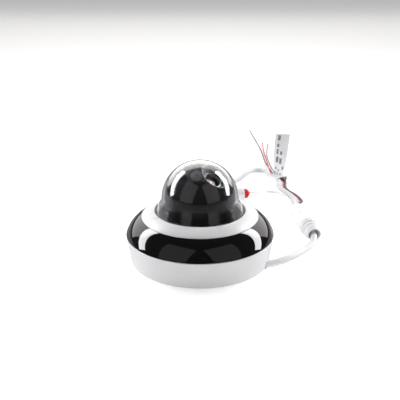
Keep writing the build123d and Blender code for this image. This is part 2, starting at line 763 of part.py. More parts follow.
with BuildPart() as sensor_board:
    with BuildSketch(lens_plane.offset(-2.4)):
        RectangleRounded(23.0, 23.0, 1.5)
    extrude(amount=1.4)
write(sensor_board, "sensor_board")

with BuildPart() as image_sensor:
    with BuildSketch(lens_plane.offset(-1.0)):
        Rectangle(8.0, 8.0)
    extrude(amount=1.2)
write(image_sensor, "image_sensor")

# ---- Tail of leads. Each route is the list of its corners, in order from the camera ----


def tube(points, diameter, name):
    """Round lead of straight runs joined by tangent arcs, one radius to each corner."""
    corners = [Vector(*p) for p in points]
    runs = [(b - a).length for a, b in zip(corners, corners[1:])]
    radii = []
    for before, corner, after, run_in, run_out in zip(corners, corners[1:], corners[2:], runs, runs[1:]):
        turn = (corner - before).get_angle(after - corner)
        radii.append(0.45 * min(run_in, run_out) / tan(radians(turn / 2)))
    with BuildPart() as lead:
        with BuildLine() as route:
            FilletPolyline(*corners, radius=radii)
        with BuildSketch(Plane(origin=corners[0], z_dir=corners[1] - corners[0])):
            Circle(diameter / 2)
        sweep()
    length = sum(edge.length for edge in route.edges())
    expected = pi * diameter**2 / 4 * length
    print(f"{name}: length {length:.1f}, volume ratio {lead.part.volume / expected:.4f}, "
          f"radii {[round(r, 1) for r in radii]}")
    write(lead, name)


MOUTH = Vector(106.0, 27.8, 9.0)  # mouth of the splitter, and the way its axis runs
splitter_dir = Vector(cos(radians(97.45)), sin(radians(97.45)), 0)
splitter_side = Vector(sin(radians(97.45)), -cos(radians(97.45)), 0)
SPLITTER_LENGTH = 70.0
splitter_end = MOUTH + splitter_dir * SPLITTER_LENGTH

CABLE_ROUTE = [
    (47.0, -22.6, 3.2),
    (62.5, -19.6, 3.1),
    (79.5, -8.4, 3.05),
    (94.0, 7.0, 3.05),
    (103.4, 18.0, 4.6),
    (106.0, 27.6, 9.0),
    (104.44, 39.7, 9.0),
]
POWER_ROUTE = [
    (93.75, 96.8, 10.7),
    (93.0, 108.0, 8.6),
    (95.2, 123.0, 2.6),
    (95.8, 140.0, 1.25),
    (88.5, 157.0, 1.25),
    (76.5, 164.6, 1.25),
    (66.5, 155.8, 2.2),
    (60.3, 146.1, 6.6),
    (52.6, 143.9, 6.6),
]
NETWORK_ROUTE = [
    (96.62, 97.2, 7.1),
    (97.4, 109.0, 5.6),
    (99.8, 124.0, 2.85),
    (100.2, 139.5, 2.85),
    (93.2, 157.5, 2.85),
    (85.6, 174.5, 2.85),
    (91.2, 193.2, 2.85),
    (79.5, 208.6, 2.85),
    (80.0, 221.5, 2.85),
    (73.8, 230.8, 2.85),
    (63.2, 231.0, 2.85),
    (55.8, 221.5, 2.85),
    (49.5, 208.3, 2.85),
    (41.5, 193.0, 2.85),
    (34.0, 180.6, 5.5),
    (26.8, 177.0, 8.0),
    (19.0, 177.0, 8.0),
]
WHITE_ROUTE = [
    (97.0, 97.6, 12.3),
    (99.4, 109.0, 9.8),
    (103.8, 123.5, 3.4),
    (104.2, 139.5, 1.0),
    (100.6, 153.0, 1.0),
    (93.4, 165.5, 1.0),
    (90.9, 179.5, 1.0),
    (94.4, 197.0, 1.0),
    (83.9, 210.4, 1.0),
    (80.7, 229.0, 1.0),
    (77.2, 254.0, 1.0),
    (75.0, 287.0, 1.0),
    (73.8, 322.0, 1.0),
]
RED_ROUTE = [
    (98.5, 97.6, 11.0),
    (101.0, 109.0, 8.4),
    (105.3, 124.0, 3.4),
    (105.7, 139.6, 1.0),
    (102.0, 153.5, 1.0),
    (94.8, 166.0, 1.0),
    (92.4, 179.5, 1.0),
    (96.0, 197.4, 1.0),
    (85.4, 211.0, 1.0),
    (82.6, 228.0, 1.0),
    (82.0, 243.0, 2.5),
    (81.7, 257.0, 2.5),
    (82.2, 276.0, 1.0),
    (81.4, 302.0, 1.0),
    (81.9, 326.0, 1.0),
    (82.8, 350.0, 1.0),
]
BLACK_ROUTE = [
    (100.0, 97.6, 11.0),
    (102.5, 109.0, 8.4),
    (106.8, 124.0, 3.4),
    (107.2, 139.7, 1.0),
    (103.4, 154.1, 1.0),
    (96.2, 166.5, 1.0),
    (93.9, 179.5, 1.0),
    (97.5, 197.7, 1.0),
    (86.9, 211.6, 1.0),
    (84.3, 231.0, 1.0),
    (79.3, 266.0, 1.0),
    (79.0, 310.0, 1.0),
    (75.0, 354.0, 1.0),
    (69.5, 404.0, 1.0),
]
GREY_ROUTE = [
    (99.2, 97.6, 12.3),
    (102.4, 109.0, 10.2),
    (108.3, 124.0, 4.0),
    (108.8, 139.8, 1.0),
    (104.8, 154.6, 1.0),
    (97.6, 167.0, 1.0),
    (95.5, 179.5, 1.0),
    (99.1, 198.1, 1.0),
    (88.4, 212.2, 1.0),
    (86.6, 234.0, 1.0),
    (84.4, 262.0, 1.0),
    (83.8, 300.0, 1.0),
    (89.4, 340.0, 1.0),
]
tube(CABLE_ROUTE, CABLE_D, "main_cable")
tube(POWER_ROUTE, POWER_D, "power_lead")
tube(NETWORK_ROUTE, NETWORK_D, "network_lead")
tube(WHITE_ROUTE, WIRE_D, "wire_white")
tube(RED_ROUTE, WIRE_D, "wire_red")
tube(BLACK_ROUTE, WIRE_D, "wire_black")
tube(GREY_ROUTE, WIRE_D, "wire_grey")

# Tinned strands at the bare ends of the alarm wires
with BuildPart() as wire_tips:
    for route in (WHITE_ROUTE, RED_ROUTE, BLACK_ROUTE, GREY_ROUTE):
        tip = Vector(*route[-1])
        with BuildSketch(Plane(origin=tip, z_dir=tip - Vector(*route[-2]))):
            Circle(0.4)
        extrude(amount=6.0)
write(wire_tips, "wire_tips")

# ---- Splitter boot: moulded barrel where the cable divides into leads ----
splitter_section = Plane(origin=MOUTH, x_dir=(0, 0, 1), z_dir=-splitter_side)
with BuildPart() as cable_splitter:
    with BuildSketch(splitter_section):
        with BuildLine():
            Polyline(
                (0, 12.0),
                (5.0, 12.0),
                (5.0, 0),
                (6.2, 0),
                (6.5, 0.6),
                (6.5, 2.4),
                (6.0, 3.0),
                (6.9, 4.0),
                (7.3, 9.0),
                (8.1, 10.0),
                (8.3, 12.4),
                (7.3, 13.0),
                (7.3, 14.6),
                (8.6, 15.2),
                (8.8, 17.2),
                (8.0, 17.8),
                (8.0, 18.6),
                (8.9, 19.4),
                (8.9, 37.0),
                (8.5, 37.6),
                (8.5, 38.6),
                (8.9, 39.2),
                (8.7, 50.0),
                (8.2, 50.6),
                (8.1, 51.6),
                (8.3, 52.2),
                (7.2, 62.0),
                (6.0, 65.5),
                (5.2, 65.8),
                (5.2, 68.4),
                (4.9, SPLITTER_LENGTH),
                (0, SPLITTER_LENGTH),
                close=True,
            )
        make_face()
    revolve(axis=Axis(MOUTH, splitter_dir))
write(cable_splitter, "cable_splitter")

# ---- Power socket: white barrel jack with a red strain collar ----
POWER_END = Vector(*POWER_ROUTE[-1])
power_dir = Vector(cos(radians(196)), sin(radians(196)), 0)
power_side = Vector(sin(radians(196)), -cos(radians(196)), 0)
power_section = Plane(origin=POWER_END, x_dir=(0, 0, 1), z_dir=-power_side)
with BuildPart() as power_collar:
    with BuildSketch(power_section):
        with BuildLine():
            Polyline((0, 0), (2.2, 0), (4.4, 2.0), (5.2, 3.0), (5.2, 6.2), (4.8, 6.8), (0, 6.8), close=True)
        make_face()
    revolve(axis=Axis(POWER_END, power_dir))
write(power_collar, "power_collar")

with BuildPart() as power_socket:
    with BuildSketch(power_section):
        with BuildLine():
            Polyline(
                (0, 6.8),
                (6.0, 6.8),
                (6.5, 7.4),
                (6.5, 14.0),
                (5.7, 15.0),
                (5.7, 33.5),
                (5.2, 34.2),
                (2.9, 34.2),
                (2.9, 24.2),
                (1.05, 24.2),
                (1.05, 33.4),
                (0, 33.4),
                close=True,
            )
        make_face()
    revolve(axis=Axis(POWER_END, power_dir))
write(power_socket, "power_socket")

# ---- Network socket: in-line female jack lying behind the camera ----
JACK_Y = 177.0
JACK_X = 19.0
JACK_Z = 8.0
with BuildPart() as network_socket:
    with BuildSketch(Plane(origin=(JACK_X, JACK_Y, JACK_Z), x_dir=(0, 1, 0), z_dir=(-1, 0, 0))):
        Circle(4.6)
    extrude(amount=6.0)
    with BuildSketch(Plane(origin=(JACK_X - 6.0, JACK_Y, JACK_Z), x_dir=(0, 1, 0), z_dir=(-1, 0, 0))):
        RectangleRounded(16.4, 15.6, 2.2)
    extrude(amount=29.0)
    with BuildSketch(Plane(origin=(JACK_X - 35.0, JACK_Y, JACK_Z - 0.4), x_dir=(0, 1, 0), z_dir=(1, 0, 0))):
        Rectangle(11.9, 7.0)
        with Locations((0, -4.6)):
            Rectangle(6.2, 2.4)
        with Locations((0, -6.2)):
            Rectangle(3.4, 1.0)
    extrude(amount=14.0, mode=Mode.SUBTRACT)
write(network_socket, "network_socket")

with BuildPart() as network_contacts:
    with BuildSketch(Plane(origin=(JACK_X - 21.0, JACK_Y, JACK_Z + 2.5), x_dir=(0, 1, 0), z_dir=(-1, 0, 0))):
        with GridLocations(1.02, 0, 8, 1):
            Rectangle(0.45, 0.5)
    extrude(amount=10.0)
write(network_contacts, "network_contacts")

# ---- Flag label: vinyl strip wrapped round the leads, its free end standing up ----
LABEL_TURN = 127.5
label_dir = Vector(cos(radians(LABEL_TURN)), sin(radians(LABEL_TURN)), 0)
label_side = Vector(sin(radians(LABEL_TURN)), -cos(radians(LABEL_TURN)), 0)
label_start = Vector(89.5, 203.4, 0) - label_dir * 7.6
with BuildPart() as label_flag:
    with BuildSketch(Plane(origin=label_start, x_dir=-label_side, z_dir=label_dir)):
        with Locations((1.25, 3.0)):
            RectangleRounded(16.6, 5.9, 1.6)
            RectangleRounded(16.0, 5.3, 1.3, mode=Mode.SUBTRACT)
    extrude(amount=15.2)
    with BuildSketch(Plane(origin=(89.5, 203.4, 5.8), x_dir=label_dir, z_dir=(0, 0, 1))):
        Rectangle(15.2, 0.6)
    with BuildSketch(Plane(origin=(91.5, 205.5, 29.7), x_dir=(-0.93, 0.37, 0), z_dir=(0, 0, 1))):
        Rectangle(15.8, 0.6)
    with BuildSketch(Plane(origin=(93.6, 207.6, 53.6), x_dir=(-0.99, 0.1, 0), z_dir=(0, 0, 1))):
        Rectangle(16.4, 0.6)
    loft()
write(label_flag, "label_flag")
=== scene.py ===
from math import cos, radians, sin, sqrt

import bpy
from mathutils import Matrix, Vector


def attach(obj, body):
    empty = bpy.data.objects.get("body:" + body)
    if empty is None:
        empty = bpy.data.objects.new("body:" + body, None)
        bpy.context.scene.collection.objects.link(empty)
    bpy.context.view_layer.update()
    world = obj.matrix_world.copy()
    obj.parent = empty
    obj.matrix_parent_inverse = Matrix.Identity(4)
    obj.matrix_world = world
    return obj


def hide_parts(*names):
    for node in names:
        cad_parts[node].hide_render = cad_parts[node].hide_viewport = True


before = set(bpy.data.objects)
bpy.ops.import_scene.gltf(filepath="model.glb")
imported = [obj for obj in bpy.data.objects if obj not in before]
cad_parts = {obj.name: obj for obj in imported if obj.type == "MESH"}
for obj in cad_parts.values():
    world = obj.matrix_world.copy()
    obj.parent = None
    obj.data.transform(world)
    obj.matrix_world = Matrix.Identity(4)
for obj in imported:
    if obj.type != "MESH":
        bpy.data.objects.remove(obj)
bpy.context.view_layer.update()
bpy.ops.object.select_all(action="DESELECT")

# ------------------------------------------------------------ view
# A short telephoto on a low stand, looking a little down on the front of the
# dome, with the leads lying on the table behind it to the right.
bpy.ops.object.camera_add(location=(0, -0.6056, 0.2907), rotation=(radians(68.7), 0, 0))
view_camera = bpy.context.object
view_camera.name = "view_camera"
view_camera.data.lens = 67.3
view_camera.data.clip_start = 0.01
view_camera.data.clip_end = 20
bpy.context.scene.camera = view_camera

# ------------------------------------------------------------ main cable
# Round white PVC cable, 6 mm thick, that leaves through the side of the base and
# runs on the table to the splitter. Extruded jacket, soft satin skin.


def put(tree, kind, values=None, **options):
    """Add a node, set its options, then its inputs: a number stays a value and a socket is joined on."""
    made = tree.nodes.new(kind)
    for option, choice in options.items():
        setattr(made, option, choice)
    for key, value in (values or {}).items():
        if isinstance(value, bpy.types.NodeSocket):
            tree.links.new(value, made.inputs[key])
        else:
            made.inputs[key].default_value = value
    return made


def effect(name, inputs, outputs):
    """A node group with these sockets, and its two ends."""
    tree = bpy.data.node_groups.new(name, "ShaderNodeTree")
    for label, kind, value in inputs:
        socket = tree.interface.new_socket(label, in_out="INPUT", socket_type=f"NodeSocket{kind}")
        if value is not None:
            socket.default_value = value
    for label, kind in outputs:
        tree.interface.new_socket(label, in_out="OUTPUT", socket_type=f"NodeSocket{kind}")
    return tree, tree.nodes.new("NodeGroupInput").outputs, tree.nodes.new("NodeGroupOutput")


# Skin of a moulded or extruded plastic: fine tool grain, uneven gloss, a few faint scuffs.
plastic_skin, given, result = effect(
    "plastic_skin",
    [
        ("Vector", "Vector", None),
        ("Colour", "Color", (0.8, 0.8, 0.8, 1)),
        ("Scuff Colour", "Color", (0.6, 0.6, 0.6, 1)),
        ("Scuffs", "Float", 0.3),
        ("Grain", "Float", 3000.0),
        ("Gloss Low", "Float", 0.3),
        ("Gloss High", "Float", 0.4),
    ],
    [("Colour", "Color"), ("Roughness", "Float"), ("Height", "Float")],
)
grain = put(plastic_skin, "ShaderNodeTexNoise", {"Vector": given["Vector"], "Scale": given["Grain"], "Detail": 2.0})
cloud = put(plastic_skin, "ShaderNodeTexNoise", {"Vector": given["Vector"], "Scale": 70.0, "Detail": 5.0})
gloss = put(
    plastic_skin,
    "ShaderNodeMapRange",
    {
        "Value": cloud.outputs["Fac"],
        "From Min": 0.35,
        "From Max": 0.65,
        "To Min": given["Gloss Low"],
        "To Max": given["Gloss High"],
    },
)
drawn = put(
    plastic_skin,
    "ShaderNodeMapping",
    {"Vector": given["Vector"], "Rotation": (0.6, 0.3, 0.9), "Scale": (40, 900, 60)},
)
line = put(plastic_skin, "ShaderNodeTexNoise", {"Vector": drawn.outputs["Vector"], "Scale": 1.0, "Detail": 2.0})
rubbed = put(plastic_skin, "ShaderNodeMapRange", {"Value": line.outputs["Fac"], "From Min": 0.66, "From Max": 0.74})
share = put(
    plastic_skin, "ShaderNodeMath", {0: rubbed.outputs["Result"], 1: given["Scuffs"]}, operation="MULTIPLY"
)
shade = put(plastic_skin, "ShaderNodeMix", data_type="RGBA")
plastic_skin.links.new(share.outputs[0], shade.inputs[0])
plastic_skin.links.new(given["Colour"], shade.inputs[6])
plastic_skin.links.new(given["Scuff Colour"], shade.inputs[7])
plastic_skin.links.new(shade.outputs[2], result.inputs["Colour"])
plastic_skin.links.new(gloss.outputs["Result"], result.inputs["Roughness"])
plastic_skin.links.new(grain.outputs["Fac"], result.inputs["Height"])


def new_finish(name, colour, roughness=0.5, metallic=0.0):
    """A material of plain shader, its tree and its shader, ready to wire."""
    finish = bpy.data.materials.new(name)
    finish.use_nodes = True
    shader = finish.node_tree.nodes["Principled BSDF"]
    shader.inputs["Base Color"].default_value = (*colour, 1)
    shader.inputs["Roughness"].default_value = roughness
    shader.inputs["Metallic"].default_value = metallic
    return finish, finish.node_tree, shader


def place_of(tree):
    """Where on the piece the surface is, in metres."""
    return put(tree, "ShaderNodeTexCoord").outputs["Object"]


def bump(tree, shader, height, strength, distance):
    """Feed a height to the shader's normal."""
    relief = put(tree, "ShaderNodeBump", {"Height": height, "Strength": strength, "Distance": distance})
    tree.links.new(relief.outputs["Normal"], shader.inputs["Normal"])


def moulded(name, colour, scuff, gloss, grain=3000.0, relief=0.25, scuffs=0.3):
    """Plastic with the moulded skin: gloss is its lowest and highest roughness."""
    finish, tree, shader = new_finish(name, colour)
    skin = put(
        tree,
        "ShaderNodeGroup",
        {
            "Vector": place_of(tree),
            "Colour": (*colour, 1),
            "Scuff Colour": (*scuff, 1),
            "Scuffs": scuffs,
            "Grain": grain,
            "Gloss Low": gloss[0],
            "Gloss High": gloss[1],
        },
        node_tree=plastic_skin,
    )
    tree.links.new(skin.outputs["Colour"], shader.inputs["Base Color"])
    tree.links.new(skin.outputs["Roughness"], shader.inputs["Roughness"])
    bump(tree, shader, skin.outputs["Height"], relief, 0.00005)
    return finish


def lead(name, node, route, thickness, finish):
    """A lead as thick as the real one, curved past the corners of its route, in millimetres."""
    line = bpy.data.curves.new(name, "CURVE")
    line.dimensions = "3D"
    run = line.splines.new("NURBS")
    run.points.add(len(route) - 1)
    for point, corner in zip(run.points, route):
        point.co = (corner[0] / 1000, corner[1] / 1000, corner[2] / 1000, 1)
    run.order_u = 3
    run.use_endpoint_u = True
    run.resolution_u = 14
    line.bevel_depth = thickness / 2000
    line.bevel_resolution = 6
    line.use_fill_caps = True
    piece = bpy.data.objects.new(name, line)
    bpy.context.scene.collection.objects.link(piece)
    line.materials.append(finish)
    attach(piece, "housing")
    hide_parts(node)
    return piece


cable_pvc = moulded("cable_pvc", (0.80, 0.80, 0.81), (0.5, 0.5, 0.5), (0.34, 0.48), grain=1800, relief=0.2, scuffs=0.35)
cable_route = [
    (47.0, -22.6, 3.2),
    (62.5, -19.6, 3.1),
    (79.5, -8.4, 3.05),
    (94.0, 7.0, 3.05),
    (103.4, 18.0, 4.6),
    (106.0, 27.6, 9.0),
    (104.44, 39.7, 9.0),
]
main_cable = lead("tail_cable", "main_cable", cable_route, 6.0, cable_pvc)

# ------------------------------------------------------------ power lead
# Thin white two-core lead from the splitter to the power socket, PVC over
# stranded copper, limp enough to lie flat in a loose bend.
power_route = [
    (93.75, 96.8, 10.7),
    (93.0, 108.0, 8.6),
    (95.2, 123.0, 2.6),
    (95.8, 140.0, 1.25),
    (88.5, 157.0, 1.25),
    (76.5, 164.6, 1.25),
    (66.5, 155.8, 2.2),
    (60.3, 146.1, 6.6),
    (52.6, 143.9, 6.6),
]
power_lead = lead("power_tail", "power_lead", power_route, 2.4, cable_pvc)

# ------------------------------------------------------------ network lead
# Grey-white round lead of twisted pairs, 5 mm thick, that goes through the flag
# label, turns back in a wide loop and ends in the in-line network socket.
network_pvc = moulded("network_pvc", (0.62, 0.62, 0.64), (0.4, 0.4, 0.41), (0.38, 0.5), grain=1800, scuffs=0.3)
network_route = [
    (96.62, 97.2, 7.1),
    (97.4, 109.0, 5.6),
    (99.8, 124.0, 2.85),
    (100.2, 139.5, 2.85),
    (93.2, 157.5, 2.85),
    (85.6, 174.5, 2.85),
    (91.2, 193.2, 2.85),
    (79.5, 208.6, 2.85),
    (80.0, 221.5, 2.85),
    (73.8, 230.8, 2.85),
    (63.2, 231.0, 2.85),
    (55.8, 221.5, 2.85),
    (49.5, 208.3, 2.85),
    (41.5, 193.0, 2.85),
    (34.0, 180.6, 5.5),
    (26.8, 177.0, 8.0),
    (19.0, 177.0, 8.0),
]
network_lead = lead("network_tail", "network_lead", network_route, 5.0, network_pvc)

# ------------------------------------------------------------ alarm wires
# Four single wires, white, red, black and grey, 1.3 mm over their PVC. They lie
# side by side to the label, then spread, each with 6 mm of bare tinned strands.
wire_white_pvc = moulded("wire_white_pvc", (0.78, 0.78, 0.78), (0.5, 0.5, 0.5), (0.3, 0.42), scuffs=0.2)
wire_red_pvc = moulded("wire_red_pvc", (0.62, 0.012, 0.010), (0.3, 0.02, 0.02), (0.28, 0.42), scuffs=0.3)
wire_black_pvc = moulded("wire_black_pvc", (0.012, 0.011, 0.011), (0.08, 0.08, 0.08), (0.3, 0.45), scuffs=0.4)
wire_grey_pvc = moulded("wire_grey_pvc", (0.16, 0.16, 0.17), (0.3, 0.3, 0.3), (0.3, 0.45), scuffs=0.3)
white_route = [
    (97.0, 97.6, 12.3),
    (99.4, 109.0, 9.8),
    (103.8, 123.5, 3.4),
    (104.2, 139.5, 1.0),
    (100.6, 153.0, 1.0),
    (93.4, 165.5, 1.0),
    (90.9, 179.5, 1.0),
    (94.4, 197.0, 1.0),
    (83.9, 210.4, 1.0),
    (80.7, 229.0, 1.0),
    (77.2, 254.0, 1.0),
    (75.0, 287.0, 1.0),
    (73.8, 322.0, 1.0),
]
red_route = [
    (98.5, 97.6, 11.0),
    (101.0, 109.0, 8.4),
    (105.3, 124.0, 3.4),
    (105.7, 139.6, 1.0),
    (102.0, 153.5, 1.0),
    (94.8, 166.0, 1.0),
    (92.4, 179.5, 1.0),
    (96.0, 197.4, 1.0),
    (85.4, 211.0, 1.0),
    (82.6, 228.0, 1.0),
    (82.0, 243.0, 2.5),
    (81.7, 257.0, 2.5),
    (82.2, 276.0, 1.0),
    (81.4, 302.0, 1.0),
    (81.9, 326.0, 1.0),
    (82.8, 350.0, 1.0),
]
black_route = [
    (100.0, 97.6, 11.0),
    (102.5, 109.0, 8.4),
    (106.8, 124.0, 3.4),
    (107.2, 139.7, 1.0),
    (103.4, 154.1, 1.0),
    (96.2, 166.5, 1.0),
    (93.9, 179.5, 1.0),
    (97.5, 197.7, 1.0),
    (86.9, 211.6, 1.0),
    (84.3, 231.0, 1.0),
    (79.3, 266.0, 1.0),
    (79.0, 310.0, 1.0),
    (75.0, 354.0, 1.0),
    (69.5, 404.0, 1.0),
]
grey_route = [
    (99.2, 97.6, 12.3),
    (102.4, 109.0, 10.2),
    (108.3, 124.0, 4.0),
    (108.8, 139.8, 1.0),
    (104.8, 154.6, 1.0),
    (97.6, 167.0, 1.0),
    (95.5, 179.5, 1.0),
    (99.1, 198.1, 1.0),
    (88.4, 212.2, 1.0),
    (86.6, 234.0, 1.0),
    (84.4, 262.0, 1.0),
    (83.8, 300.0, 1.0),
    (89.4, 340.0, 1.0),
]
wire_white = lead("alarm_wire_white", "wire_white", white_route, 1.3, wire_white_pvc)
wire_red = lead("alarm_wire_red", "wire_red", red_route, 1.3, wire_red_pvc)
wire_black = lead("alarm_wire_black", "wire_black", black_route, 1.3, wire_black_pvc)
wire_grey = lead("alarm_wire_grey", "wire_grey", grey_route, 1.3, wire_grey_pvc)

# ------------------------------------------------------------ tinned wire ends
# Stripped copper strands, twisted and dipped in solder.

# Metal with a drawn or rolled grain: long streaks in gloss and height.
metal_grain, given, result = effect(
    "metal_grain",
    [
        ("Vector", "Vector", None),
        ("Stretch", "Vector", (2500.0, 2500.0, 60.0)),
        ("Gloss Low", "Float", 0.25),
        ("Gloss High", "Float", 0.4),
    ],
    [("Roughness", "Float"), ("Height", "Float")],
)
drawn = put(metal_grain, "ShaderNodeVectorMath", {0: given["Vector"], 1: given["Stretch"]}, operation="MULTIPLY")
streak = put(metal_grain, "ShaderNodeTexNoise", {"Vector": drawn.outputs[0], "Scale": 1.0, "Detail": 4.0})
gloss = put(
    metal_grain,
    "ShaderNodeMapRange",
    {
        "Value": streak.outputs["Fac"],
        "From Min": 0.3,
        "From Max": 0.7,
        "To Min": given["Gloss Low"],
        "To Max": given["Gloss High"],
    },
)
metal_grain.links.new(gloss.outputs["Result"], result.inputs["Roughness"])
metal_grain.links.new(streak.outputs["Fac"], result.inputs["Height"])


def metal(name, colour, gloss, stretch, relief=0.15):
    """Bare or plated metal with its grain; gloss is its lowest and highest roughness."""
    finish, tree, shader = new_finish(name, colour, metallic=1.0)
    grained = put(
        tree,
        "ShaderNodeGroup",
        {"Vector": place_of(tree), "Stretch": stretch, "Gloss Low": gloss[0], "Gloss High": gloss[1]},
        node_tree=metal_grain,
    )
    tree.links.new(grained.outputs["Roughness"], shader.inputs["Roughness"])
    bump(tree, shader, grained.outputs["Height"], relief, 0.00003)
    return finish


def dress(node, finish):
    """Give a piece taken straight from the frame its finish."""
    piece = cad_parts[node]
    for holder in piece.material_slots:
        holder.material = finish
    return piece


tinned = metal("tinned_strands", (0.72, 0.71, 0.69), (0.25, 0.5), (3500, 900, 3500), relief=0.6)
wire_tips = dress("wire_tips", tinned)

# ------------------------------------------------------------ splitter
# Barrel moulded over the place where the cable divides: grooved rings and a
# knurled neck at its mouth, a smooth taper behind. Glossy white PVC.


def turned(name, profile, sides=144):
    """A ring extruded from point to point of a (radius, height) profile, in millimetres, and shut on itself."""
    radius, height = profile[0]
    bpy.ops.object.select_all(action="DESELECT")
    bpy.ops.mesh.primitive_circle_add(vertices=sides, radius=radius / 1000, location=(0, 0, height / 1000))
    piece = bpy.context.object
    piece.name = name
    bpy.ops.object.transform_apply(location=True, rotation=True, scale=True)
    bpy.ops.object.mode_set(mode="EDIT")
    bpy.ops.mesh.select_all(action="SELECT")
    for (r0, z0), (r1, z1) in zip(profile, profile[1:]):
        bpy.ops.mesh.extrude_edges_move(TRANSFORM_OT_translate={"value": (0, 0, (z1 - z0) / 1000)})
        bpy.ops.transform.resize(value=(r1 / r0, r1 / r0, 1), center_override=(0, 0, z1 / 1000))
    bpy.ops.mesh.select_all(action="SELECT")
    bpy.ops.mesh.remove_doubles(threshold=0.000004)
    bpy.ops.mesh.normals_make_consistent(inside=False)
    bpy.ops.object.mode_set(mode="OBJECT")
    return piece


def arc(across, up, radius, first, last, steps):
    """Points round part of a circle, (radius, height), from one angle to another."""
    angles = [radians(first + (last - first) * step / steps) for step in range(steps + 1)]
    return [(across + radius * cos(a), up + radius * sin(a)) for a in angles]


def only(piece):
    """Make this the one selected piece."""
    bpy.ops.object.select_all(action="DESELECT")
    piece.select_set(True)
    bpy.context.view_layer.objects.active = piece


def ease(piece, width, rounds=2, angle=32):
    """Round the piece's sharp edges as its mould or tool leaves them, and smooth the rest."""
    only(piece)
    rounding = piece.modifiers.new("edges", "BEVEL")
    rounding.width = width / 1000
    rounding.segments = rounds
    rounding.limit_method = "ANGLE"
    rounding.angle_limit = radians(angle)
    rounding.use_clamp_overlap = True
    bpy.ops.object.modifier_apply(modifier="edges")
    bpy.ops.object.shade_smooth_by_angle(angle=radians(38))


def cut(piece, tool):
    """Take the tool's shape out of the piece, and put the tool away."""
    only(piece)
    hollow = piece.modifiers.new("cut", "BOOLEAN")
    hollow.operation = "DIFFERENCE"
    hollow.solver = "EXACT"
    hollow.object = tool
    bpy.ops.object.modifier_apply(modifier="cut")
    bpy.data.objects.remove(tool)


def lay(piece, place, axis, across=(0, 0, 1)):
    """Turn a piece made round Z until Z runs along the axis, and set it at its place, in metres."""
    along = Vector(axis).normalized()
    side = Vector(across)
    side = (side - along * side.dot(along)).normalized()
    frame_of_piece = Matrix((side, along.cross(side), along)).transposed().to_4x4()
    piece.matrix_world = Matrix.Translation(Vector(place)) @ frame_of_piece
    only(piece)
    bpy.ops.object.transform_apply(location=True, rotation=True, scale=True)


def belongs(piece, body, finish, slot, *nodes):
    """The piece's body, finish and the CAD nodes that it stands for; its slot is not used."""
    if finish is not None:
        piece.data.materials.clear()
        piece.data.materials.append(finish)
    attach(piece, body)
    if nodes:
        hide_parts(*nodes)
    return piece


splitter_axis = Vector((cos(radians(97.45)), sin(radians(97.45)), 0))
splitter_mouth = Vector((0.106, 0.0278, 0.009))
splitter_profile = [
    (0.001, 12.0),
    (4.9, 12.0),
    (5.0, 0.4),
    (5.3, 0.0),
    (6.2, 0.0),
    (6.5, 0.6),
    (6.5, 2.4),
    (6.0, 3.0),
    (6.7, 4.0),
    (7.0, 9.0),
    (8.1, 10.0),
    (8.3, 12.4),
    (7.3, 13.0),
    (7.3, 14.6),
    (8.6, 15.2),
    (8.8, 17.2),
    (8.0, 17.8),
    (8.0, 18.6),
    (8.8, 19.4),
    (8.9, 24.0),
    (8.9, 37.0),
    (8.4, 37.6),
    (8.4, 38.6),
    (8.85, 39.2),
    (8.7, 50.0),
    (8.2, 50.6),
    (8.1, 51.6),
    (8.3, 52.2),
    (7.9, 57.0),
    (7.2, 62.0),
    (6.0, 65.2),
    (5.3, 65.7),
    (5.2, 66.3),
    (4.9, 66.6),
    (5.2, 66.9),
    (5.2, 67.5),
    (4.9, 67.8),
    (5.2, 68.1),
    (5.1, 69.2),
    (4.8, 70.0),
    (0.001, 70.0),
]
splitter = turned("splitter_boot", splitter_profile, sides=96)
bpy.ops.object.mode_set(mode="EDIT")
bpy.ops.mesh.select_all(action="DESELECT")
bpy.ops.mesh.select_mode(type="FACE")
bpy.ops.object.mode_set(mode="OBJECT")
neck = [f for f in splitter.data.polygons if 0.004 < f.center.z < 0.009 and f.center.xy.length > 0.006]
neck.sort(key=lambda f: f.center.xy.angle_signed(Vector((1, 0))))
for rib in neck[::2]:
    rib.select = True
bpy.ops.object.mode_set(mode="EDIT")
bpy.ops.mesh.extrude_region_shrink_fatten(TRANSFORM_OT_shrink_fatten={"value": 0.00028})
bpy.ops.object.mode_set(mode="OBJECT")
ease(splitter, 0.16)
lay(splitter, splitter_mouth, splitter_axis)
boot_pvc = moulded("boot_pvc", (0.84, 0.84, 0.84), (0.6, 0.6, 0.6), (0.26, 0.38), grain=2600, relief=0.15, scuffs=0.35)
belongs(splitter, "housing", boot_pvc, "boot_white", "cable_splitter")

# ------------------------------------------------------------ power socket
# Female barrel jack: white ribbed body, steel centre pin in its bore, and a red
# collar at its back that marks the polarity. Two mouldings pressed together.
power_axis = Vector((cos(radians(196)), sin(radians(196)), 0))
power_end = Vector((0.0526, 0.1439, 0.0066))
collar_profile = [
    (0.001, 0.0),
    (2.2, 0.0),
    (3.0, 0.7),
    (4.4, 2.0),
    (5.2, 3.0),
    (5.2, 3.6),
    (4.85, 3.8),
    (4.85, 4.2),
    (5.2, 4.4),
    (5.2, 5.0),
    (4.85, 5.2),
    (4.85, 5.6),
    (5.2, 5.8),
    (5.2, 6.3),
    (4.8, 6.8),
    (0.001, 6.8),
]
collar = turned("power_socket_collar", collar_profile, sides=72)
ease(collar, 0.15)
lay(collar, power_end, power_axis)
red_pvc = moulded("red_pvc", (0.66, 0.006, 0.014), (0.4, 0.05, 0.05), (0.22, 0.36), grain=2600, relief=0.15)
belongs(collar, "housing", red_pvc, "red_collar", "power_collar")
socket_profile = [
    (0.001, 6.8),
    (6.0, 6.8),
    (6.5, 7.4),
    (6.5, 14.0),
    (5.7, 15.0),
    (5.7, 33.5),
    (5.2, 34.2),
    (2.9, 34.2),
    (2.7, 33.9),
    (2.7, 24.2),
    (0.001, 24.2),
]
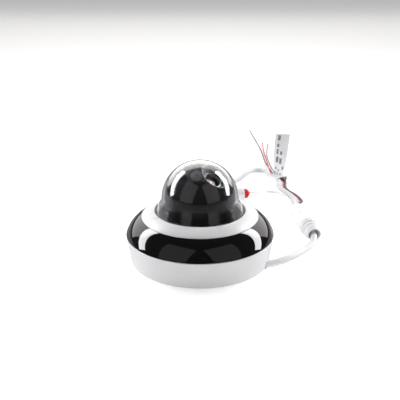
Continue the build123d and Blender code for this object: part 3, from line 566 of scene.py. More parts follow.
socket = turned("power_socket_body", socket_profile, sides=96)
only(socket)
bpy.ops.object.mode_set(mode="EDIT")
bpy.ops.mesh.select_all(action="DESELECT")
bpy.ops.object.mode_set(mode="OBJECT")
grips = [f for f in socket.data.polygons if 0.0074 < f.center.z < 0.014 and f.center.xy.length > 0.006]
grips.sort(key=lambda f: f.center.xy.angle_signed(Vector((1, 0))))
for rib in grips[::3]:
    rib.select = True
bpy.ops.object.mode_set(mode="EDIT")
bpy.ops.mesh.extrude_region_shrink_fatten(TRANSFORM_OT_shrink_fatten={"value": -0.0003})
bpy.ops.object.mode_set(mode="OBJECT")
ease(socket, 0.15)
lay(socket, power_end, power_axis)
belongs(socket, "housing", boot_pvc, "socket_white", "power_socket")
socket_pin = turned("power_socket_pin", [(0.001, 23.4), (1.0, 23.4), (1.0, 33.0), (0.7, 33.4), (0.001, 33.4)], sides=32)
ease(socket_pin, 0.1)
lay(socket_pin, power_end, power_axis)
nickel = metal("nickel_plate", (0.70, 0.68, 0.64), (0.15, 0.28), (1200, 1200, 1200))
belongs(socket_pin, "housing", nickel, None)

# ------------------------------------------------------------ network socket
# In-line eight-way network jack: a white box with rounded edges, a latch slot in
# its port, gold-plated contact springs, and a round sleeve that grips the lead.
bpy.ops.object.select_all(action="DESELECT")
bpy.ops.mesh.primitive_cube_add(size=1, location=(-0.0015, 0.177, 0.008), scale=(0.029, 0.0164, 0.0156))
network_box = bpy.context.object
network_box.name = "network_jack_body"
bpy.ops.object.transform_apply(location=True, rotation=True, scale=True)
bpy.ops.object.mode_set(mode="EDIT")
bpy.ops.mesh.select_all(action="DESELECT")
bpy.ops.mesh.select_mode(type="EDGE")
bpy.ops.object.mode_set(mode="OBJECT")
for edge in network_box.data.edges:
    ends = [network_box.data.vertices[v].co for v in edge.vertices]
    edge.select = abs(ends[0].x - ends[1].x) > 0.02
bpy.ops.object.mode_set(mode="EDIT")
bpy.ops.mesh.bevel(offset=0.0022, segments=5)
bpy.ops.mesh.select_mode(type="FACE")
bpy.ops.object.mode_set(mode="OBJECT")
for face in network_box.data.polygons:
    face.select = face.normal.x > 0.9
bpy.ops.object.mode_set(mode="EDIT")
bpy.ops.mesh.inset(thickness=0.0026)
bpy.ops.mesh.extrude_region_move(TRANSFORM_OT_translate={"value": (0.0022, 0, 0)})
bpy.ops.object.mode_set(mode="OBJECT")
for place, size in (
    ((-0.0095, 0.177, 0.0076), (0.016, 0.0119, 0.0070)),
    ((-0.0095, 0.177, 0.0030), (0.016, 0.0062, 0.0026)),
    ((-0.0095, 0.177, 0.0014), (0.016, 0.0034, 0.0012)),
):
    bpy.ops.mesh.primitive_cube_add(size=1, location=place, scale=size)
    port_tool = bpy.context.object
    bpy.ops.object.transform_apply(location=True, rotation=True, scale=True)
    cut(network_box, port_tool)
ease(network_box, 0.25)
belongs(network_box, "housing", boot_pvc, "socket_white", "network_socket")
sleeve_profile = [(2.6, 0.0), (3.9, 0.2), (4.4, 1.4), (4.4, 2.0), (4.0, 2.2), (4.0, 2.8), (4.5, 3.0)]
sleeve_profile += [(4.6, 5.9), (2.6, 5.9), (2.6, 0.0)]
sleeve = turned("network_jack_sleeve", sleeve_profile, sides=72)
ease(sleeve, 0.12)
lay(sleeve, (0.019, 0.177, 0.008), (-1, 0, 0))
belongs(sleeve, "housing", boot_pvc, None)
gold = metal("gold_contacts", (0.83, 0.58, 0.22), (0.18, 0.3), (90, 2500, 2500))
network_contacts = dress("network_contacts", gold)

# ------------------------------------------------------------ flag label
# Printed vinyl strip, 16 mm wide, taken once round the leads and stuck back to
# back, so that it stands up as a flag. Print is plain bars, worn matt.
flag_foot = Vector((0.0895, 0.2034, 0.0059))
flag_middle = Vector((0.0915, 0.2055, 0.0297))
flag_top = Vector((0.0936, 0.2076, 0.0536))
heading = Vector((cos(radians(127.5)), sin(radians(127.5)), 0))
outward = Vector((-sin(radians(127.5)), cos(radians(127.5)), 0))
FLAG_ROWS = 96


def flag_at(share):
    """Middle of the flag at a share of its height, its width direction and half its width."""
    low, mid, high = (1 - share) * (1 - 2 * share), 4 * share * (1 - share), share * (2 * share - 1)
    middle = flag_foot * low + flag_middle * mid + flag_top * high
    across = heading * low + Vector((-0.93, 0.37, 0)) * mid + Vector((-0.99, 0.10, 0)) * high
    return middle, across.normalized(), 0.0076 + 0.0006 * share


def flag_row(share, ply):
    """One row of the strip on the front or the back ply."""
    middle, across, half = flag_at(share)
    above = flag_at(min(share + 0.02, 1.0))[0] - flag_at(max(share - 0.02, 0.0))[0]
    facing = above.cross(across).normalized()
    if facing.y > 0:
        facing = -facing
    return middle + facing * ply * 0.00017, across, half


def wrap_row(side, height):
    """One row of the strip where it goes round the leads."""
    return flag_foot.xy.to_3d() + outward * side / 1000 + Vector((0, 0, height / 1000)), heading, 0.0076


strip_rows = [flag_row(1 - row / FLAG_ROWS, 1) for row in range(FLAG_ROWS)]
round_leads = [(0.17, 5.80)] + arc(7.75, 4.15, 1.65, 90, 0, 6) + arc(7.75, 1.85, 1.65, 0, -90, 6)
round_leads += arc(-5.25, 1.85, 1.65, -90, -180, 6) + arc(-5.25, 4.15, 1.65, 180, 90, 6) + [(-0.17, 5.80)]
strip_rows += [wrap_row(side, height) for side, height in round_leads]
strip_rows += [flag_row(row / 40, -1) for row in range(1, 41)]
STRIP_COLUMNS = 26
bpy.ops.object.select_all(action="DESELECT")
bpy.ops.mesh.primitive_grid_add(x_subdivisions=STRIP_COLUMNS, y_subdivisions=len(strip_rows) - 1, size=1)
flag = bpy.context.object
flag.name = "flag_label_strip"
flag.data.name = "flag_label_strip"
for vertex in flag.data.vertices:
    row = round((0.5 - vertex.co.y) * (len(strip_rows) - 1))
    middle, across, half = strip_rows[row]
    vertex.co = middle - across * (2 * vertex.co.x) * half

# Left edge, distance below the top, width and height of each printed bar, in millimetres
printed_bars = [
    (3.0, 1.7, 2.8, 5.9),
    (3.9, 9.3, 0.8, 0.8),
    (3.3, 11.5, 2.0, 4.3),
    (3.3, 17.5, 2.3, 6.3),
    (7.3, 20.2, 2.6, 3.9),
    (3.1, 26.6, 3.1, 7.0),
    (7.4, 28.1, 2.8, 6.7),
    (2.6, 39.0, 2.3, 2.6),
    (6.5, 41.4, 2.3, 2.7),
    (11.4, 37.3, 2.4, 3.4),
    (0.4, 44.6, 3.3, 3.2),
    (4.7, 45.6, 2.6, 2.2),
    (9.5, 45.0, 2.7, 2.4),
]
flag_vinyl, tree, shader = new_finish("flag_vinyl", (0.82, 0.82, 0.825), roughness=0.55)
place = place_of(tree)
fibre = put(tree, "ShaderNodeTexNoise", {"Vector": place, "Scale": 1500.0, "Detail": 4.0})
crease = put(tree, "ShaderNodeTexNoise", {"Vector": place, "Scale": 90.0, "Detail": 3.0, "Distortion": 0.6})
# The base colour follows the same crease noise as the relief and is darker in its hollows: painted shade in the
# creases, besides a faint random tone.
tone = put(tree, "ShaderNodeValToRGB", {"Fac": crease.outputs["Fac"]})
tone.color_ramp.elements[0].position = 0.35
tone.color_ramp.elements[0].color = (0.78, 0.78, 0.79, 1)
tone.color_ramp.elements[1].position = 0.65
tone.color_ramp.elements[1].color = (0.86, 0.86, 0.865, 1)
tree.links.new(tone.outputs["Color"], shader.inputs["Base Color"])
both = put(tree, "ShaderNodeMath", {0: crease.outputs["Fac"], 1: fibre.outputs["Fac"]}, operation="ADD")
bump(tree, shader, both.outputs[0], 0.35, 0.0003)
print_ink, tree, shader = new_finish("print_ink", (0.02, 0.02, 0.02), roughness=0.45)
speck = put(tree, "ShaderNodeTexNoise", {"Vector": place_of(tree), "Scale": 1400.0, "Detail": 2.0})
tone = put(tree, "ShaderNodeValToRGB", {"Fac": speck.outputs["Fac"]})
tone.color_ramp.elements[0].position = 0.35
tone.color_ramp.elements[0].color = (0.06, 0.06, 0.06, 1)
tone.color_ramp.elements[1].position = 0.7
tone.color_ramp.elements[1].color = (0.5, 0.5, 0.5, 1)
tree.links.new(tone.outputs["Color"], shader.inputs["Base Color"])
belongs(flag, "housing", flag_vinyl, "label_paper", "label_flag")
flag.data.materials.append(print_ink)
flag_height = sum((b[0] - a[0]).length for a, b in zip(strip_rows, strip_rows[1 : FLAG_ROWS + 1])) * 1000
for face in flag.data.polygons:
    corner = min(face.vertices)
    columns = STRIP_COLUMNS + 1
    rows_up, column = divmod(corner, columns)
    row = len(strip_rows) - 1 - rows_up
    if row > FLAG_ROWS:
        continue
    down = (row - 0.5) / FLAG_ROWS * flag_height
    left = (column + 0.5) / STRIP_COLUMNS * 15.8
    if any(x <= left <= x + w and y <= down <= y + h for x, y, w, h in printed_bars):
        face.material_index = 1
only(flag)
plies = flag.modifiers.new("plies", "SOLIDIFY")
plies.thickness = 0.00016
plies.offset = 0
bpy.ops.object.modifier_apply(modifier="plies")
bpy.ops.object.shade_smooth_by_angle(angle=radians(30))

# ------------------------------------------------------------ mounting plate
# Zinc-plated steel disc that is screwed to the ceiling; three small screws hold
# the base to it. Stamped, with slots for turning it into line.
zinc = metal("zinc_steel", (0.62, 0.63, 0.65), (0.3, 0.5), (1400, 90, 1400), relief=0.2)
dress("mounting_plate", zinc)
screw_steel = metal("screw_steel", (0.55, 0.55, 0.56), (0.22, 0.4), (900, 900, 900), relief=0.2)
dress("plate_screws", screw_steel)

# ------------------------------------------------------------ base
# White ABS shell, wider at the top than at the foot, that holds the boards. One
# moulding with a slot in its wall for the cable; fine even grain, small foot radius.
base_profile = [
    (0.001, 2.4),
    (57.8, 2.4),
    (57.8, 0.0),
    (59.8, 0.0),
    (60.55, 0.12),
    (61.05, 0.5),
    (61.32, 1.1),
    (61.42, 1.7),
    (64.72, 22.9),
    (64.98, 23.7),
    (65.0, 24.1),
    (64.8, 24.4),
    (62.4, 24.4),
    (62.2, 24.1),
    (58.7, 4.6),
    (0.001, 4.6),
]
base = turned("base_shell_moulding", base_profile, sides=200)
bpy.ops.object.select_all(action="DESELECT")
bpy.ops.mesh.primitive_cube_add(
    size=1, location=(0.055, -0.02105, 0.0031), rotation=(0, 0, radians(11)), scale=(0.024, 0.009, 0.0082)
)
slot_tool = bpy.context.object
bpy.ops.object.transform_apply(location=True, rotation=True, scale=True)
cut(base, slot_tool)
for number in range(4):
    turn = radians(22.5 + 90 * number)
    bpy.ops.mesh.primitive_cylinder_add(
        vertices=40, radius=0.0046, depth=0.004, location=(0.04 * cos(turn), 0.04 * sin(turn), 0.0029)
    )
    cut(base, bpy.context.object)
ease(base, 0.22)
white_abs = moulded(
    "white_abs", (0.80, 0.80, 0.80), (0.66, 0.66, 0.65), (0.30, 0.40), grain=2400, relief=0.18, scuffs=0.2
)
belongs(base, "housing", white_abs, "white_shell", "base_shell")

# ------------------------------------------------------------ cable gland
# Block of white rubber in the slot of the base, gripping the cable so that a pull
# on it doesn't reach the board.
gland_rubber = moulded("gland_rubber", (0.62, 0.62, 0.62), (0.5, 0.5, 0.5), (0.5, 0.62), grain=1500, relief=0.3)
dress("cable_gland", gland_rubber)

# ------------------------------------------------------------ boards and electronics
# Glass-epoxy main board with solder mask, and on it the processor under its heat
# sink, memory chips, capacitors and the header for the cable's inner wires.
board_mask, tree, shader = new_finish("board_mask", (0.01, 0.12, 0.04), roughness=0.32)
place = place_of(tree)
tracks = put(
    tree,
    "ShaderNodeTexBrick",
    {"Vector": place, "Scale": 420.0, "Mortar Size": 0.06, "Brick Width": 0.9, "Row Height": 0.35},
    offset=0.37,
    squash=1.6,
    squash_frequency=3,
)
tracks.inputs["Color1"].default_value = (0.008, 0.10, 0.035, 1)
tracks.inputs["Color2"].default_value = (0.010, 0.13, 0.045, 1)
tracks.inputs["Mortar"].default_value = (0.03, 0.22, 0.08, 1)
dots = put(tree, "ShaderNodeTexVoronoi", {"Vector": place, "Scale": 320.0}, feature="F1")
pads = put(tree, "ShaderNodeMapRange", {"Value": dots.outputs["Distance"], "From Min": 0.16, "From Max": 0.12})
tinny = put(tree, "ShaderNodeMix", data_type="RGBA")
tree.links.new(pads.outputs["Result"], tinny.inputs[0])
tree.links.new(tracks.outputs["Color"], tinny.inputs[6])
tinny.inputs[7].default_value = (0.62, 0.60, 0.55, 1)
tree.links.new(tinny.outputs[2], shader.inputs["Base Color"])
tree.links.new(pads.outputs["Result"], shader.inputs["Metallic"])
bump(tree, shader, tracks.outputs["Fac"], 0.3, 0.00004)
for node in ("main_board", "led_board", "sensor_board"):
    dress(node, board_mask)
chip_epoxy = moulded("chip_epoxy", (0.014, 0.014, 0.015), (0.06, 0.06, 0.06), (0.45, 0.6), grain=5200, relief=0.4)
dress("board_chips", chip_epoxy)
anodised = metal("anodised_fins", (0.32, 0.33, 0.35), (0.3, 0.5), (200, 2200, 200))
dress("heat_sink", anodised)
can_alu = metal("capacitor_can", (0.78, 0.78, 0.79), (0.2, 0.32), (500, 500, 1500))
dress("capacitors", can_alu)
header_nylon = moulded("header_nylon", (0.72, 0.66, 0.5), (0.5, 0.46, 0.35), (0.4, 0.5), scuffs=0.2)
dress("board_header", header_nylon)
harness_tape = moulded("harness_tape", (0.13, 0.13, 0.14), (0.25, 0.25, 0.25), (0.45, 0.6), grain=1200)
dress("inner_harness", harness_tape)
sensor_face, tree, shader = new_finish("sensor_face", (0.03, 0.05, 0.07), roughness=0.12, metallic=0.5)
cells = put(tree, "ShaderNodeTexVoronoi", {"Vector": place_of(tree), "Scale": 9000.0})
hue = put(tree, "ShaderNodeValToRGB", {"Fac": cells.outputs["Distance"]})
hue.color_ramp.elements[0].color = (0.02, 0.06, 0.10, 1)
hue.color_ramp.elements[1].color = (0.10, 0.03, 0.08, 1)
tree.links.new(hue.outputs["Color"], shader.inputs["Base Color"])
dress("image_sensor", sensor_face)

# ------------------------------------------------------------ chassis
# Brushed aluminium deck on brass posts; the pan motor hangs under it and the
# turntable runs on the spigot at its middle.
deck_alu = metal("brushed_deck", (0.66, 0.67, 0.68), (0.28, 0.45), (2600, 60, 2600), relief=0.25)
dress("chassis_deck", deck_alu)
brass = metal("brass_posts", (0.78, 0.60, 0.30), (0.22, 0.36), (700, 700, 90))
dress("chassis_posts", brass)
dress("led_posts", brass)
for node in ("led_screws", "case_screws", "trim_screws", "motor_screws", "yoke_screws", "pan_retainer", "tilt_pins"):
    dress(node, screw_steel)
motor_can = metal("motor_can", (0.48, 0.49, 0.50), (0.25, 0.42), (400, 400, 1800))
dress("pan_motor", motor_can)
dress("tilt_motor", motor_can)

# ------------------------------------------------------------ infrared lamps
# Ring of moulded clear epoxy lamps on their board, under the dark window.
lamp_epoxy, tree, shader = new_finish("lamp_epoxy", (0.86, 0.88, 0.92), roughness=0.08)
shader.inputs["Transmission Weight"].default_value = 0.7
shader.inputs["IOR"].default_value = 1.52
haze = put(tree, "ShaderNodeTexNoise", {"Vector": place_of(tree), "Scale": 900.0, "Detail": 3.0})
bump(tree, shader, haze.outputs["Fac"], 0.1, 0.00005)
dress("led_lamps", lamp_epoxy)

# ------------------------------------------------------------ gasket and seal
# Black silicone rings: one between base and window, one under the bubble's flange.
silicone = moulded("black_silicone", (0.018, 0.018, 0.018), (0.09, 0.09, 0.09), (0.5, 0.65), grain=1500, relief=0.3)
dress("seam_gasket", silicone)
dress("bubble_seal", silicone)

# ------------------------------------------------------------ infrared window
# Band of black polycarbonate that lets only infrared through, moulded in one with
# the shelf for the bubble. Polished outside, with hairline wiping marks.
polish, given, result = effect(
    "wiped_gloss",
    [("Vector", "Vector", None), ("Smooth", "Float", 0.02), ("Wiped", "Float", 0.12)],
    [("Roughness", "Float"), ("Height", "Float")],
)
smear = put(polish, "ShaderNodeTexNoise", {"Vector": given["Vector"], "Scale": 45.0, "Detail": 6.0, "Distortion": 1.2})
worn = put(
    polish,
    "ShaderNodeMapRange",
    {
        "Value": smear.outputs["Fac"],
        "From Min": 0.45,
        "From Max": 0.72,
        "To Min": given["Smooth"],
        "To Max": given["Wiped"],
    },
)
turned_round = put(
    polish, "ShaderNodeMapping", {"Vector": given["Vector"], "Rotation": (0.2, 0.5, 1.1), "Scale": (30, 2600, 90)}
)
hair = put(polish, "ShaderNodeTexNoise", {"Vector": turned_round.outputs["Vector"], "Scale": 1.0, "Detail": 1.0})
fine = put(polish, "ShaderNodeMapRange", {"Value": hair.outputs["Fac"], "From Min": 0.7, "From Max": 0.78})
polish.links.new(worn.outputs["Result"], result.inputs["Roughness"])
polish.links.new(fine.outputs["Result"], result.inputs["Height"])


def polished(name, colour, smooth, wiped, relief=0.05):
    """Polished hard plastic with hairline marks and soft smears in its gloss."""
    finish, tree, shader = new_finish(name, colour)
    gloss = put(
        tree, "ShaderNodeGroup", {"Vector": place_of(tree), "Smooth": smooth, "Wiped": wiped}, node_tree=polish
    )
    tree.links.new(gloss.outputs["Roughness"], shader.inputs["Roughness"])
    bump(tree, shader, gloss.outputs["Height"], relief, 0.00002)
    return finish, tree, shader


window_profile = (
    [(64.75, 24.4)]
    + arc(38.84, 15.79, 27.54, 19.0, 62.8, 26)
    + [(51.2, 40.4), (40.2, 40.4), (40.2, 38.4)]
    + arc(36.19, 13.25, 28.64, 61.4, 23.8, 14)
    + [(62.4, 24.4), (64.75, 24.4)]
)
window = turned("infrared_window_moulding", window_profile, sides=200)
ease(window, 0.18)
window_black, tree, shader = polished("window_black", (0.0045, 0.0045, 0.005), 0.02, 0.07)
shader.inputs["IOR"].default_value = 1.57
belongs(window, "housing", window_black, "ir_black", "window_band")

# ------------------------------------------------------------ inner funnel
# Matt black ring under the bubble that hides the works round the ball.
liner_black = moulded("liner_black", (0.02, 0.02, 0.02), (0.06, 0.06, 0.06), (0.5, 0.62), grain=2200, relief=0.4)
dress("inner_liner", liner_black)

# ------------------------------------------------------------ trim ring
# White ABS ring that clamps the bubble's flange; six screws come up into it from
# below. Softly crowned top with a thin raised lip at its bore.
trim_profile = (
    [(51.1, 41.0), (51.1, 40.4), (45.6, 40.4), (45.6, 43.4), (39.4, 43.4), (39.4, 45.5), (39.7, 45.95), (40.4, 46.1)]
    + [(41.2, 46.0), (41.5, 45.8)]
    + arc(34.70, 19.83, 26.86, 75.0, 52.8, 12)
    + [(51.1, 41.0)]
)
trim = turned("trim_ring_moulding", trim_profile, sides=200)
ease(trim, 0.15)
trim_white = moulded(
    "trim_white", (0.82, 0.82, 0.82), (0.68, 0.68, 0.67), (0.26, 0.36), grain=2600, relief=0.15, scuffs=0.15
)
belongs(trim, "housing", trim_white, "white_trim", "trim_ring")

# ------------------------------------------------------------ bubble
# Clear acrylic dome, 1.8 mm thick: a hemisphere that flows into a flared skirt
# and a flat flange under the trim ring. Injection moulded and polished.
bubble_profile = (
    [(0.001, 90.0)]
    + arc(0, 56.4, 33.6, 88.5, -2.0, 60)
    + [(39.1, 45.3), (39.1, 43.4), (45.2, 43.4), (45.2, 41.6), (37.3, 41.6), (37.3, 45.2)]
    + arc(0, 56.4, 31.8, -2.1, 88.5, 60)
    + [(0.001, 88.2)]
)
bubble = turned("bubble_moulding", bubble_profile, sides=200)
only(bubble)
bpy.ops.object.shade_smooth_by_angle(angle=radians(50))
clear_acrylic, tree, shader = polished("clear_acrylic", (0.97, 0.98, 0.99), 0.0, 0.035, relief=0.02)
shader.inputs["Transmission Weight"].default_value = 1.0
shader.inputs["IOR"].default_value = 1.49
shader.inputs["Specular IOR Level"].default_value = 0.2
through = put(tree, "ShaderNodeBsdfTransparent")
through.inputs["Color"].default_value = (0.93, 0.94, 0.95, 1)
shadow_only = put(tree, "ShaderNodeLightPath")
passing = put(tree, "ShaderNodeMixShader")
tree.links.new(shadow_only.outputs["Is Shadow Ray"], passing.inputs[0])
tree.links.new(shader.outputs["BSDF"], passing.inputs[1])
tree.links.new(through.outputs["BSDF"], passing.inputs[2])
tree.links.new(passing.outputs["Shader"], tree.nodes["Material Output"].inputs["Surface"])
belongs(bubble, "housing", clear_acrylic, "clear_dome", "bubble")

# ------------------------------------------------------------ gears and turntable
# Acetal pinions and gears, and the glass-filled black nylon turntable and yoke
# that carry the ball round.
acetal = moulded("acetal", (0.74, 0.73, 0.68), (0.55, 0.53, 0.48), (0.32, 0.45), grain=2200, scuffs=0.25)
for node in ("pan_pinion", "pan_gear", "tilt_gear", "tilt_pinion"):
    dress(node, acetal)
black_nylon = moulded("black_nylon", (0.022, 0.022, 0.023), (0.10, 0.10, 0.10), (0.42, 0.58), grain=1900, relief=0.4)
dress("turntable", black_nylon)
dress("yoke_plates", black_nylon)

# ------------------------------------------------------------ ball shells
# The tilting head is two glossy black ABS half shells that meet behind the lens,
# with an opening for it, a small hatch beside it and a screw hole under it.
ball_centre = Vector((0, 0, 0.0564))
lens_turn, lens_rise = radians(52), radians(55)
tilt_line = Vector((cos(lens_turn), sin(lens_turn), 0))
lens_line = Vector((cos(lens_rise) * sin(lens_turn), -cos(lens_rise) * cos(lens_turn), sin(lens_rise)))
gloss_black, tree, shader = polished("gloss_black", (0.010, 0.010, 0.011), 0.10, 0.2, relief=0.05)
shader.inputs["Specular IOR Level"].default_value = 0.2


def ball_shell(name, cuts):
    """Part of the ball, 1.5 mm thick, kept inside these flat cuts, made round the lens line."""
    bpy.ops.object.select_all(action="DESELECT")
    bpy.ops.mesh.primitive_uv_sphere_add(segments=160, ring_count=120, radius=0.0310)
    shell = bpy.context.object
    shell.name = name
    bpy.ops.object.mode_set(mode="EDIT")
    for place, normal in cuts:
        bpy.ops.mesh.select_all(action="SELECT")
        bpy.ops.mesh.bisect(plane_co=place, plane_no=normal, clear_outer=True)
    bpy.ops.object.mode_set(mode="OBJECT")
    wall = shell.modifiers.new("wall", "SOLIDIFY")
    wall.thickness = 0.0015
    wall.offset = -1
    bpy.ops.object.modifier_apply(modifier="wall")
    return shell


cheek_gaps = [((0.0197, 0, 0), (1, 0, 0)), ((-0.0197, 0, 0), (-1, 0, 0))]
head_front = ball_shell("head_shell_front", cheek_gaps + [((0, 0, -0.002), (0, 0, -1)), ((0, 0, 0.0283), (0, 0, 1))])
hatch_way = Vector((-0.467, 0.28, 0.837)).normalized()
screw_way = Vector((0, -sin(radians(34.6)), cos(radians(34.6))))


def hole_tool(way, radius, deep, sides=32):
    """A cutter from above the ball's skin to its depth under it, standing on the skin."""
    bpy.ops.object.select_all(action="DESELECT")
    bpy.ops.mesh.primitive_cylinder_add(vertices=sides, radius=radius, depth=deep + 0.002)
    tool = bpy.context.object
    lay(tool, way * (0.0310 + 0.001 - deep / 2), way, across=(1, 0, 0))
    return tool


bpy.ops.object.select_all(action="DESELECT")
bpy.ops.mesh.primitive_circle_add(vertices=6, radius=0.0058, fill_type="NGON")
hatch_tool = bpy.context.object
bpy.ops.object.mode_set(mode="EDIT")
bpy.ops.mesh.select_all(action="SELECT")
bpy.ops.mesh.bevel(offset=0.0018, segments=5, affect="VERTICES")
bpy.ops.mesh.select_mode(type="FACE")
bpy.ops.mesh.select_all(action="SELECT")
bpy.ops.mesh.inset(thickness=0.00034)
bpy.ops.mesh.delete(type="FACE")
bpy.ops.object.mode_set(mode="OBJECT")
groove = hatch_tool.modifiers.new("groove", "SOLIDIFY")
groove.thickness = 0.0016
groove.offset = 0
bpy.ops.object.modifier_apply(modifier="groove")
lay(hatch_tool, hatch_way * 0.0310, hatch_way, across=(1, 0, 0))
cut(head_front, hatch_tool)
cut(head_front, hole_tool(hatch_way, 0.00055, 0.0009, 20))
cut(head_front, hole_tool(screw_way, 0.0016, 0.003, 32))
ease(head_front, 0.12)
hatch_satin = moulded("hatch_satin", (0.045, 0.045, 0.048), (0.10, 0.10, 0.10), (0.30, 0.42), grain=2200, relief=0.2)
belongs(head_front, "tilt_head", gloss_black, "black_gloss", "head_front")
head_front.data.materials.append(hatch_satin)
for face in head_front.data.polygons:
    off_middle = (face.center - hatch_way * face.center.dot(hatch_way)).length
    if face.center.dot(hatch_way) > 0.028 and face.center.length > 0.03085 and off_middle < 0.0053:
        face.material_index = 1
lay(head_front, ball_centre, lens_line, across=tilt_line)
head_rear = ball_shell("head_shell_rear", cheek_gaps + [((0, 0, -0.00215), (0, 0, 1))])
ease(head_rear, 0.12)
lay(head_rear, ball_centre, lens_line, across=tilt_line)
belongs(head_rear, "tilt_head", gloss_black, "black_gloss", "head_rear")
screw_profile = [(0.001, 28.0), (1.05, 28.0), (1.05, 28.9), (0.8, 29.2), (0.25, 29.2), (0.22, 28.7), (0.001, 28.7)]
shell_screw = turned("head_shell_screw", screw_profile, sides=32)
ease(shell_screw, 0.06)
lay(shell_screw, (0, 0, 0), screw_way, across=(1, 0, 0))
lay(shell_screw, ball_centre, lens_line, across=tilt_line)
belongs(shell_screw, "tilt_head", screw_steel, None)

# ------------------------------------------------------------ cheek caps
# Two black spherical caps on the yoke that complete the ball; the head tilts
# between them with a hairline gap on each side.
for way in (1, -1):
    cap_cuts = [((0.020 * way, 0, 0), (-way, 0, 0))]
    cap = ball_shell("cheek_cap_" + ("right" if way > 0 else "left"), cap_cuts)
    ease(cap, 0.12)
    lay(cap, ball_centre, lens_line, across=tilt_line)
    belongs(cap, "pan_head", gloss_black, "black_gloss", "cheek_caps")

# ------------------------------------------------------------ lens hood
# Satin black funnel round the lens, stepped inside to kill stray light, with a
# thin lip that stands a little proud of the ball. The lip's crest is a lighter
# grey metal: a painted highlight on the rim.
hood_profile = [
    (12.5, 26.7),
    (13.2, 27.85),
    (13.05, 28.25),
    (12.7, 28.6),
    (12.25, 28.7),
    (11.9, 28.5),
    (11.75, 27.6),
    (11.1, 27.35),
    (11.0, 26.4),
    (10.4, 26.25),
    (10.3, 25.3),
    (9.7, 25.15),
    (9.6, 24.2),
    (9.0, 24.05),
    (8.9, 23.2),
    (8.35, 23.0),
    (8.3, 20.9),
    (9.2, 20.9),
    (9.3, 22.1),
    (12.5, 26.7),
]
hood = turned("lens_hood", hood_profile, sides=128)
ease(hood, 0.1)
satin_black = moulded("satin_black", (0.016, 0.016, 0.017), (0.08, 0.08, 0.08), (0.32, 0.46), grain=2200, relief=0.3)
lip_highlight_grey = metal("lip_highlight_grey", (0.20, 0.20, 0.21), (0.30, 0.42), (600, 600, 600))
belongs(hood, "tilt_head", satin_black, "black_satin", "lens_bezel")
hood.data.materials.append(lip_highlight_grey)
# The lip's crest faces take the lighter grey finish: a painted highlight along the rim.
for face in hood.data.polygons:
    if face.center.z > 0.02862:
        face.material_index = 1
lay(hood, ball_centre, lens_line, across=tilt_line)
dress("lens_holder", satin_black)

# ------------------------------------------------------------ lens
# Anodised barrel with a threaded retaining ring, a domed front element with a
# reddish coating, and a darker group with its iris behind it, whose colour is a
# painted glow, brightest on the lens axis.
barrel_black = metal("anodised_barrel", (0.045, 0.045, 0.048), (0.3, 0.42), (600, 600, 2600), relief=0.3)
dress("lens_barrel", barrel_black)
ring_profile = [
    (8.1, 21.5),
    (8.1, 23.3),
    (7.8, 23.6),
    (7.2, 23.7),
    (6.9, 23.4),
    (6.75, 22.9),
    (6.7, 22.4),
    (6.9, 22.2),
    (6.7, 22.0),
    (6.7, 21.5),
    (8.1, 21.5),
]
ring = turned("lens_retaining_ring", ring_profile, sides=96)
for turn in (35, 215):
    bpy.ops.object.select_all(action="DESELECT")
    bpy.ops.mesh.primitive_cube_add(
        size=1,
        location=(0.0075 * cos(radians(turn)), 0.0075 * sin(radians(turn)), 0.0236),
        rotation=(0, 0, radians(turn)),
        scale=(0.003, 0.001, 0.0012),
    )
    notch_tool = bpy.context.object
    bpy.ops.object.transform_apply(location=True, rotation=True, scale=True)
    cut(ring, notch_tool)
ease(ring, 0.06)
ring_metal = metal("ring_metal", (0.30, 0.30, 0.31), (0.22, 0.34), (500, 500, 2200))
belongs(ring, "tilt_head", ring_metal, "ring_silver", "lens_ring")
lay(ring, ball_centre, lens_line, across=tilt_line)
dome_r = (6.55**2 + 2.3**2) / (2 * 2.3)
element_profile = [(0.001, 22.5)]
element_profile += [
    (6.55 * step / 12, 22.5 - dome_r + sqrt(dome_r**2 - (6.55 * step / 12) ** 2)) for step in range(1, 13)
]
element_profile += [(6.55, 19.2), (6.0, 18.9), (4.0, 19.3), (2.0, 19.55), (0.001, 19.6)]
element = turned("lens_front_element", element_profile, sides=96)
ease(element, 0.08, angle=50)
coated_glass, tree, shader = polished("coated_glass", (1.0, 0.82, 0.78), 0.0, 0.02, relief=0.01)
shader.inputs["Transmission Weight"].default_value = 1.0
shader.inputs["IOR"].default_value = 1.36
shader.inputs["Specular IOR Level"].default_value = 0.15
belongs(element, "tilt_head", coated_glass, "lens_glass", "lens_glass")
lay(element, ball_centre, lens_line, across=tilt_line)
group_profile = [(0.001, 18.4)]
group_profile += [(6.4 * step / 10, 18.4 - 14 + sqrt(14**2 - (6.4 * step / 10) ** 2)) for step in range(1, 11)]
group_profile += [(6.4, 15.4), (0.001, 15.4)]
group = turned("lens_rear_group", group_profile, sides=72)
ease(group, 0.08, angle=50)
# The rear group's base colour is a painted glow: warm and brightest on the lens axis, fading to near black at its rim.
iris_glow, tree, shader = new_finish("iris_glow", (0.10, 0.02, 0.015), roughness=0.4)
offset = put(tree, "ShaderNodeVectorMath", {0: place_of(tree)}, operation="SUBTRACT")
offset.inputs[1].default_value = ball_centre + lens_line * 0.0178
from_axis = put(tree, "ShaderNodeVectorMath", {0: offset.outputs[0]}, operation="LENGTH")
rings = put(tree, "ShaderNodeMapRange", {"Value": from_axis.outputs["Value"], "From Min": 0.0, "From Max": 0.0066})
painted_glow_ramp = put(tree, "ShaderNodeValToRGB", {"Fac": rings.outputs["Result"]})
painted_glow_ramp.color_ramp.elements[0].position = 0.22
painted_glow_ramp.color_ramp.elements[0].color = (0.10, 0.06, 0.055, 1)
painted_glow_ramp.color_ramp.elements[1].position = 1.0
painted_glow_ramp.color_ramp.elements[1].color = (0.010, 0.008, 0.010, 1)
glow_stop = painted_glow_ramp.color_ramp.elements.new(0.32)
glow_stop.color = (0.085, 0.036, 0.032, 1)
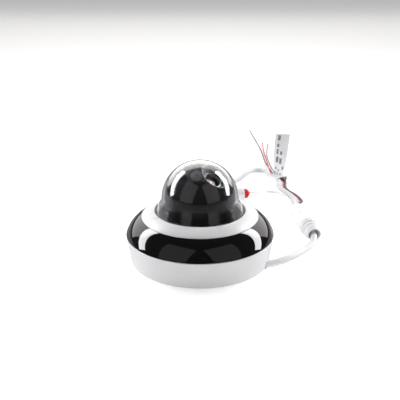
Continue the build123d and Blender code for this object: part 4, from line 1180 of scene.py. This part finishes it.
glow_stop = painted_glow_ramp.color_ramp.elements.new(0.75)
glow_stop.color = (0.06, 0.02, 0.02, 1)
tree.links.new(painted_glow_ramp.outputs["Color"], shader.inputs["Base Color"])
shader.inputs["Specular IOR Level"].default_value = 0.15
belongs(group, "tilt_head", iris_glow, None)
lay(group, ball_centre, lens_line, across=tilt_line)

# ------------------------------------------------------------ table and light
# White sweep, two bright strip boxes leaning back at the sides, two large dim
# panels in front, a soft wall and its glow behind, and a soft box overhead. The
# sweep is dimmer in mirror reflections than it is to look at.
bpy.ops.object.select_all(action="DESELECT")
bpy.ops.mesh.primitive_plane_add(size=14, location=(0, 0, -0.0001))
table = bpy.context.object
table.name = "white_table"
table_white, tree, shader = new_finish("table_white", (0.86, 0.86, 0.86), roughness=0.7)
shader.inputs["Emission Color"].default_value = (1, 1, 1, 1)
looked_at = put(tree, "ShaderNodeLightPath")
dimmed = put(tree, "ShaderNodeMath", {0: looked_at.outputs["Is Glossy Ray"], 1: 0.85}, operation="MULTIPLY")
lit = put(tree, "ShaderNodeMapRange", {"Value": dimmed.outputs[0], "To Min": 0.42, "To Max": 0.0})
tree.links.new(lit.outputs["Result"], shader.inputs["Emission Strength"])
ground = put(tree, "ShaderNodeMix", data_type="RGBA")
tree.links.new(dimmed.outputs[0], ground.inputs[0])
ground.inputs[6].default_value = (0.86, 0.86, 0.86, 1)
ground.inputs[7].default_value = (0.02, 0.02, 0.02, 1)
tree.links.new(ground.outputs[2], shader.inputs["Base Color"])
table.data.materials.append(table_white)


def soft_box(name, azimuth, distance, height, width, tall, power, tint=(1, 1, 1)):
    """A rectangular soft box at this bearing from the front, facing the camera's body."""
    place = Vector((sin(radians(azimuth)) * distance, -cos(radians(azimuth)) * distance, height))
    bpy.ops.object.light_add(type="AREA", location=place)
    box = bpy.context.object
    box.name = name
    box.rotation_euler = (place - Vector((0, 0, 0.05))).to_track_quat("Z", "Y").to_euler()
    box.data.shape = "RECTANGLE"
    box.data.size = width
    box.data.size_y = tall
    box.data.energy = power
    box.data.color = tint
    return box


for side in (-1, 1):
    low = Vector((0.98 * side, 0.05, 0.13))
    high = Vector((0.47 * side, 0.49, 0.72))
    bpy.ops.object.light_add(type="AREA", location=(low + high) / 2)
    strip = bpy.context.object
    strip.name = "strip_box_left" if side < 0 else "strip_box_right"
    facing = ((low + high) / 2 - Vector((0, 0, 0.05))).normalized()
    along = (high - low).normalized()
    facing = (facing - along * facing.dot(along)).normalized()
    strip.rotation_euler = Matrix((along.cross(facing), along, facing)).transposed().to_euler()
    strip.data.shape = "RECTANGLE"
    strip.data.size = 0.22
    strip.data.size_y = (high - low).length
    strip.data.energy = 7.5
    strip.data.color = (0.97, 0.965, 1.0)
soft_box("panel_left", -42, 1.35, 0.88, 1.25, 1.75, 2.2)
soft_box("panel_right", 42, 1.35, 0.88, 1.25, 1.75, 2.2)
back_wall = soft_box("back_wall", 180, 1.3, 0.95, 4.6, 1.5, 8.5, (1.0, 0.98, 0.95))
back_wall.visible_glossy = False
sweep_glow = soft_box("sweep_glow", 180, 1.3, 0.82, 4.6, 1.5, 42.0, (1.0, 0.97, 0.94))
sweep_glow.visible_diffuse = False
overhead = soft_box("overhead", 180, 0.15, 1.3, 1.6, 1.2, 3.0)
overhead.visible_glossy = False
surround = bpy.data.worlds.new("surround")
bpy.context.scene.world = surround
surround.use_nodes = True
surround.node_tree.nodes["Background"].inputs["Color"].default_value = (1, 1, 1, 1)
seen = put(surround.node_tree, "ShaderNodeLightPath")
sky_level = put(
    surround.node_tree, "ShaderNodeMapRange", {"Value": seen.outputs["Is Camera Ray"], "To Min": 0.05, "To Max": 0.85}
)
surround.node_tree.links.new(sky_level.outputs["Result"], surround.node_tree.nodes["Background"].inputs["Strength"])
bpy.context.scene.view_settings.view_transform = "Standard"
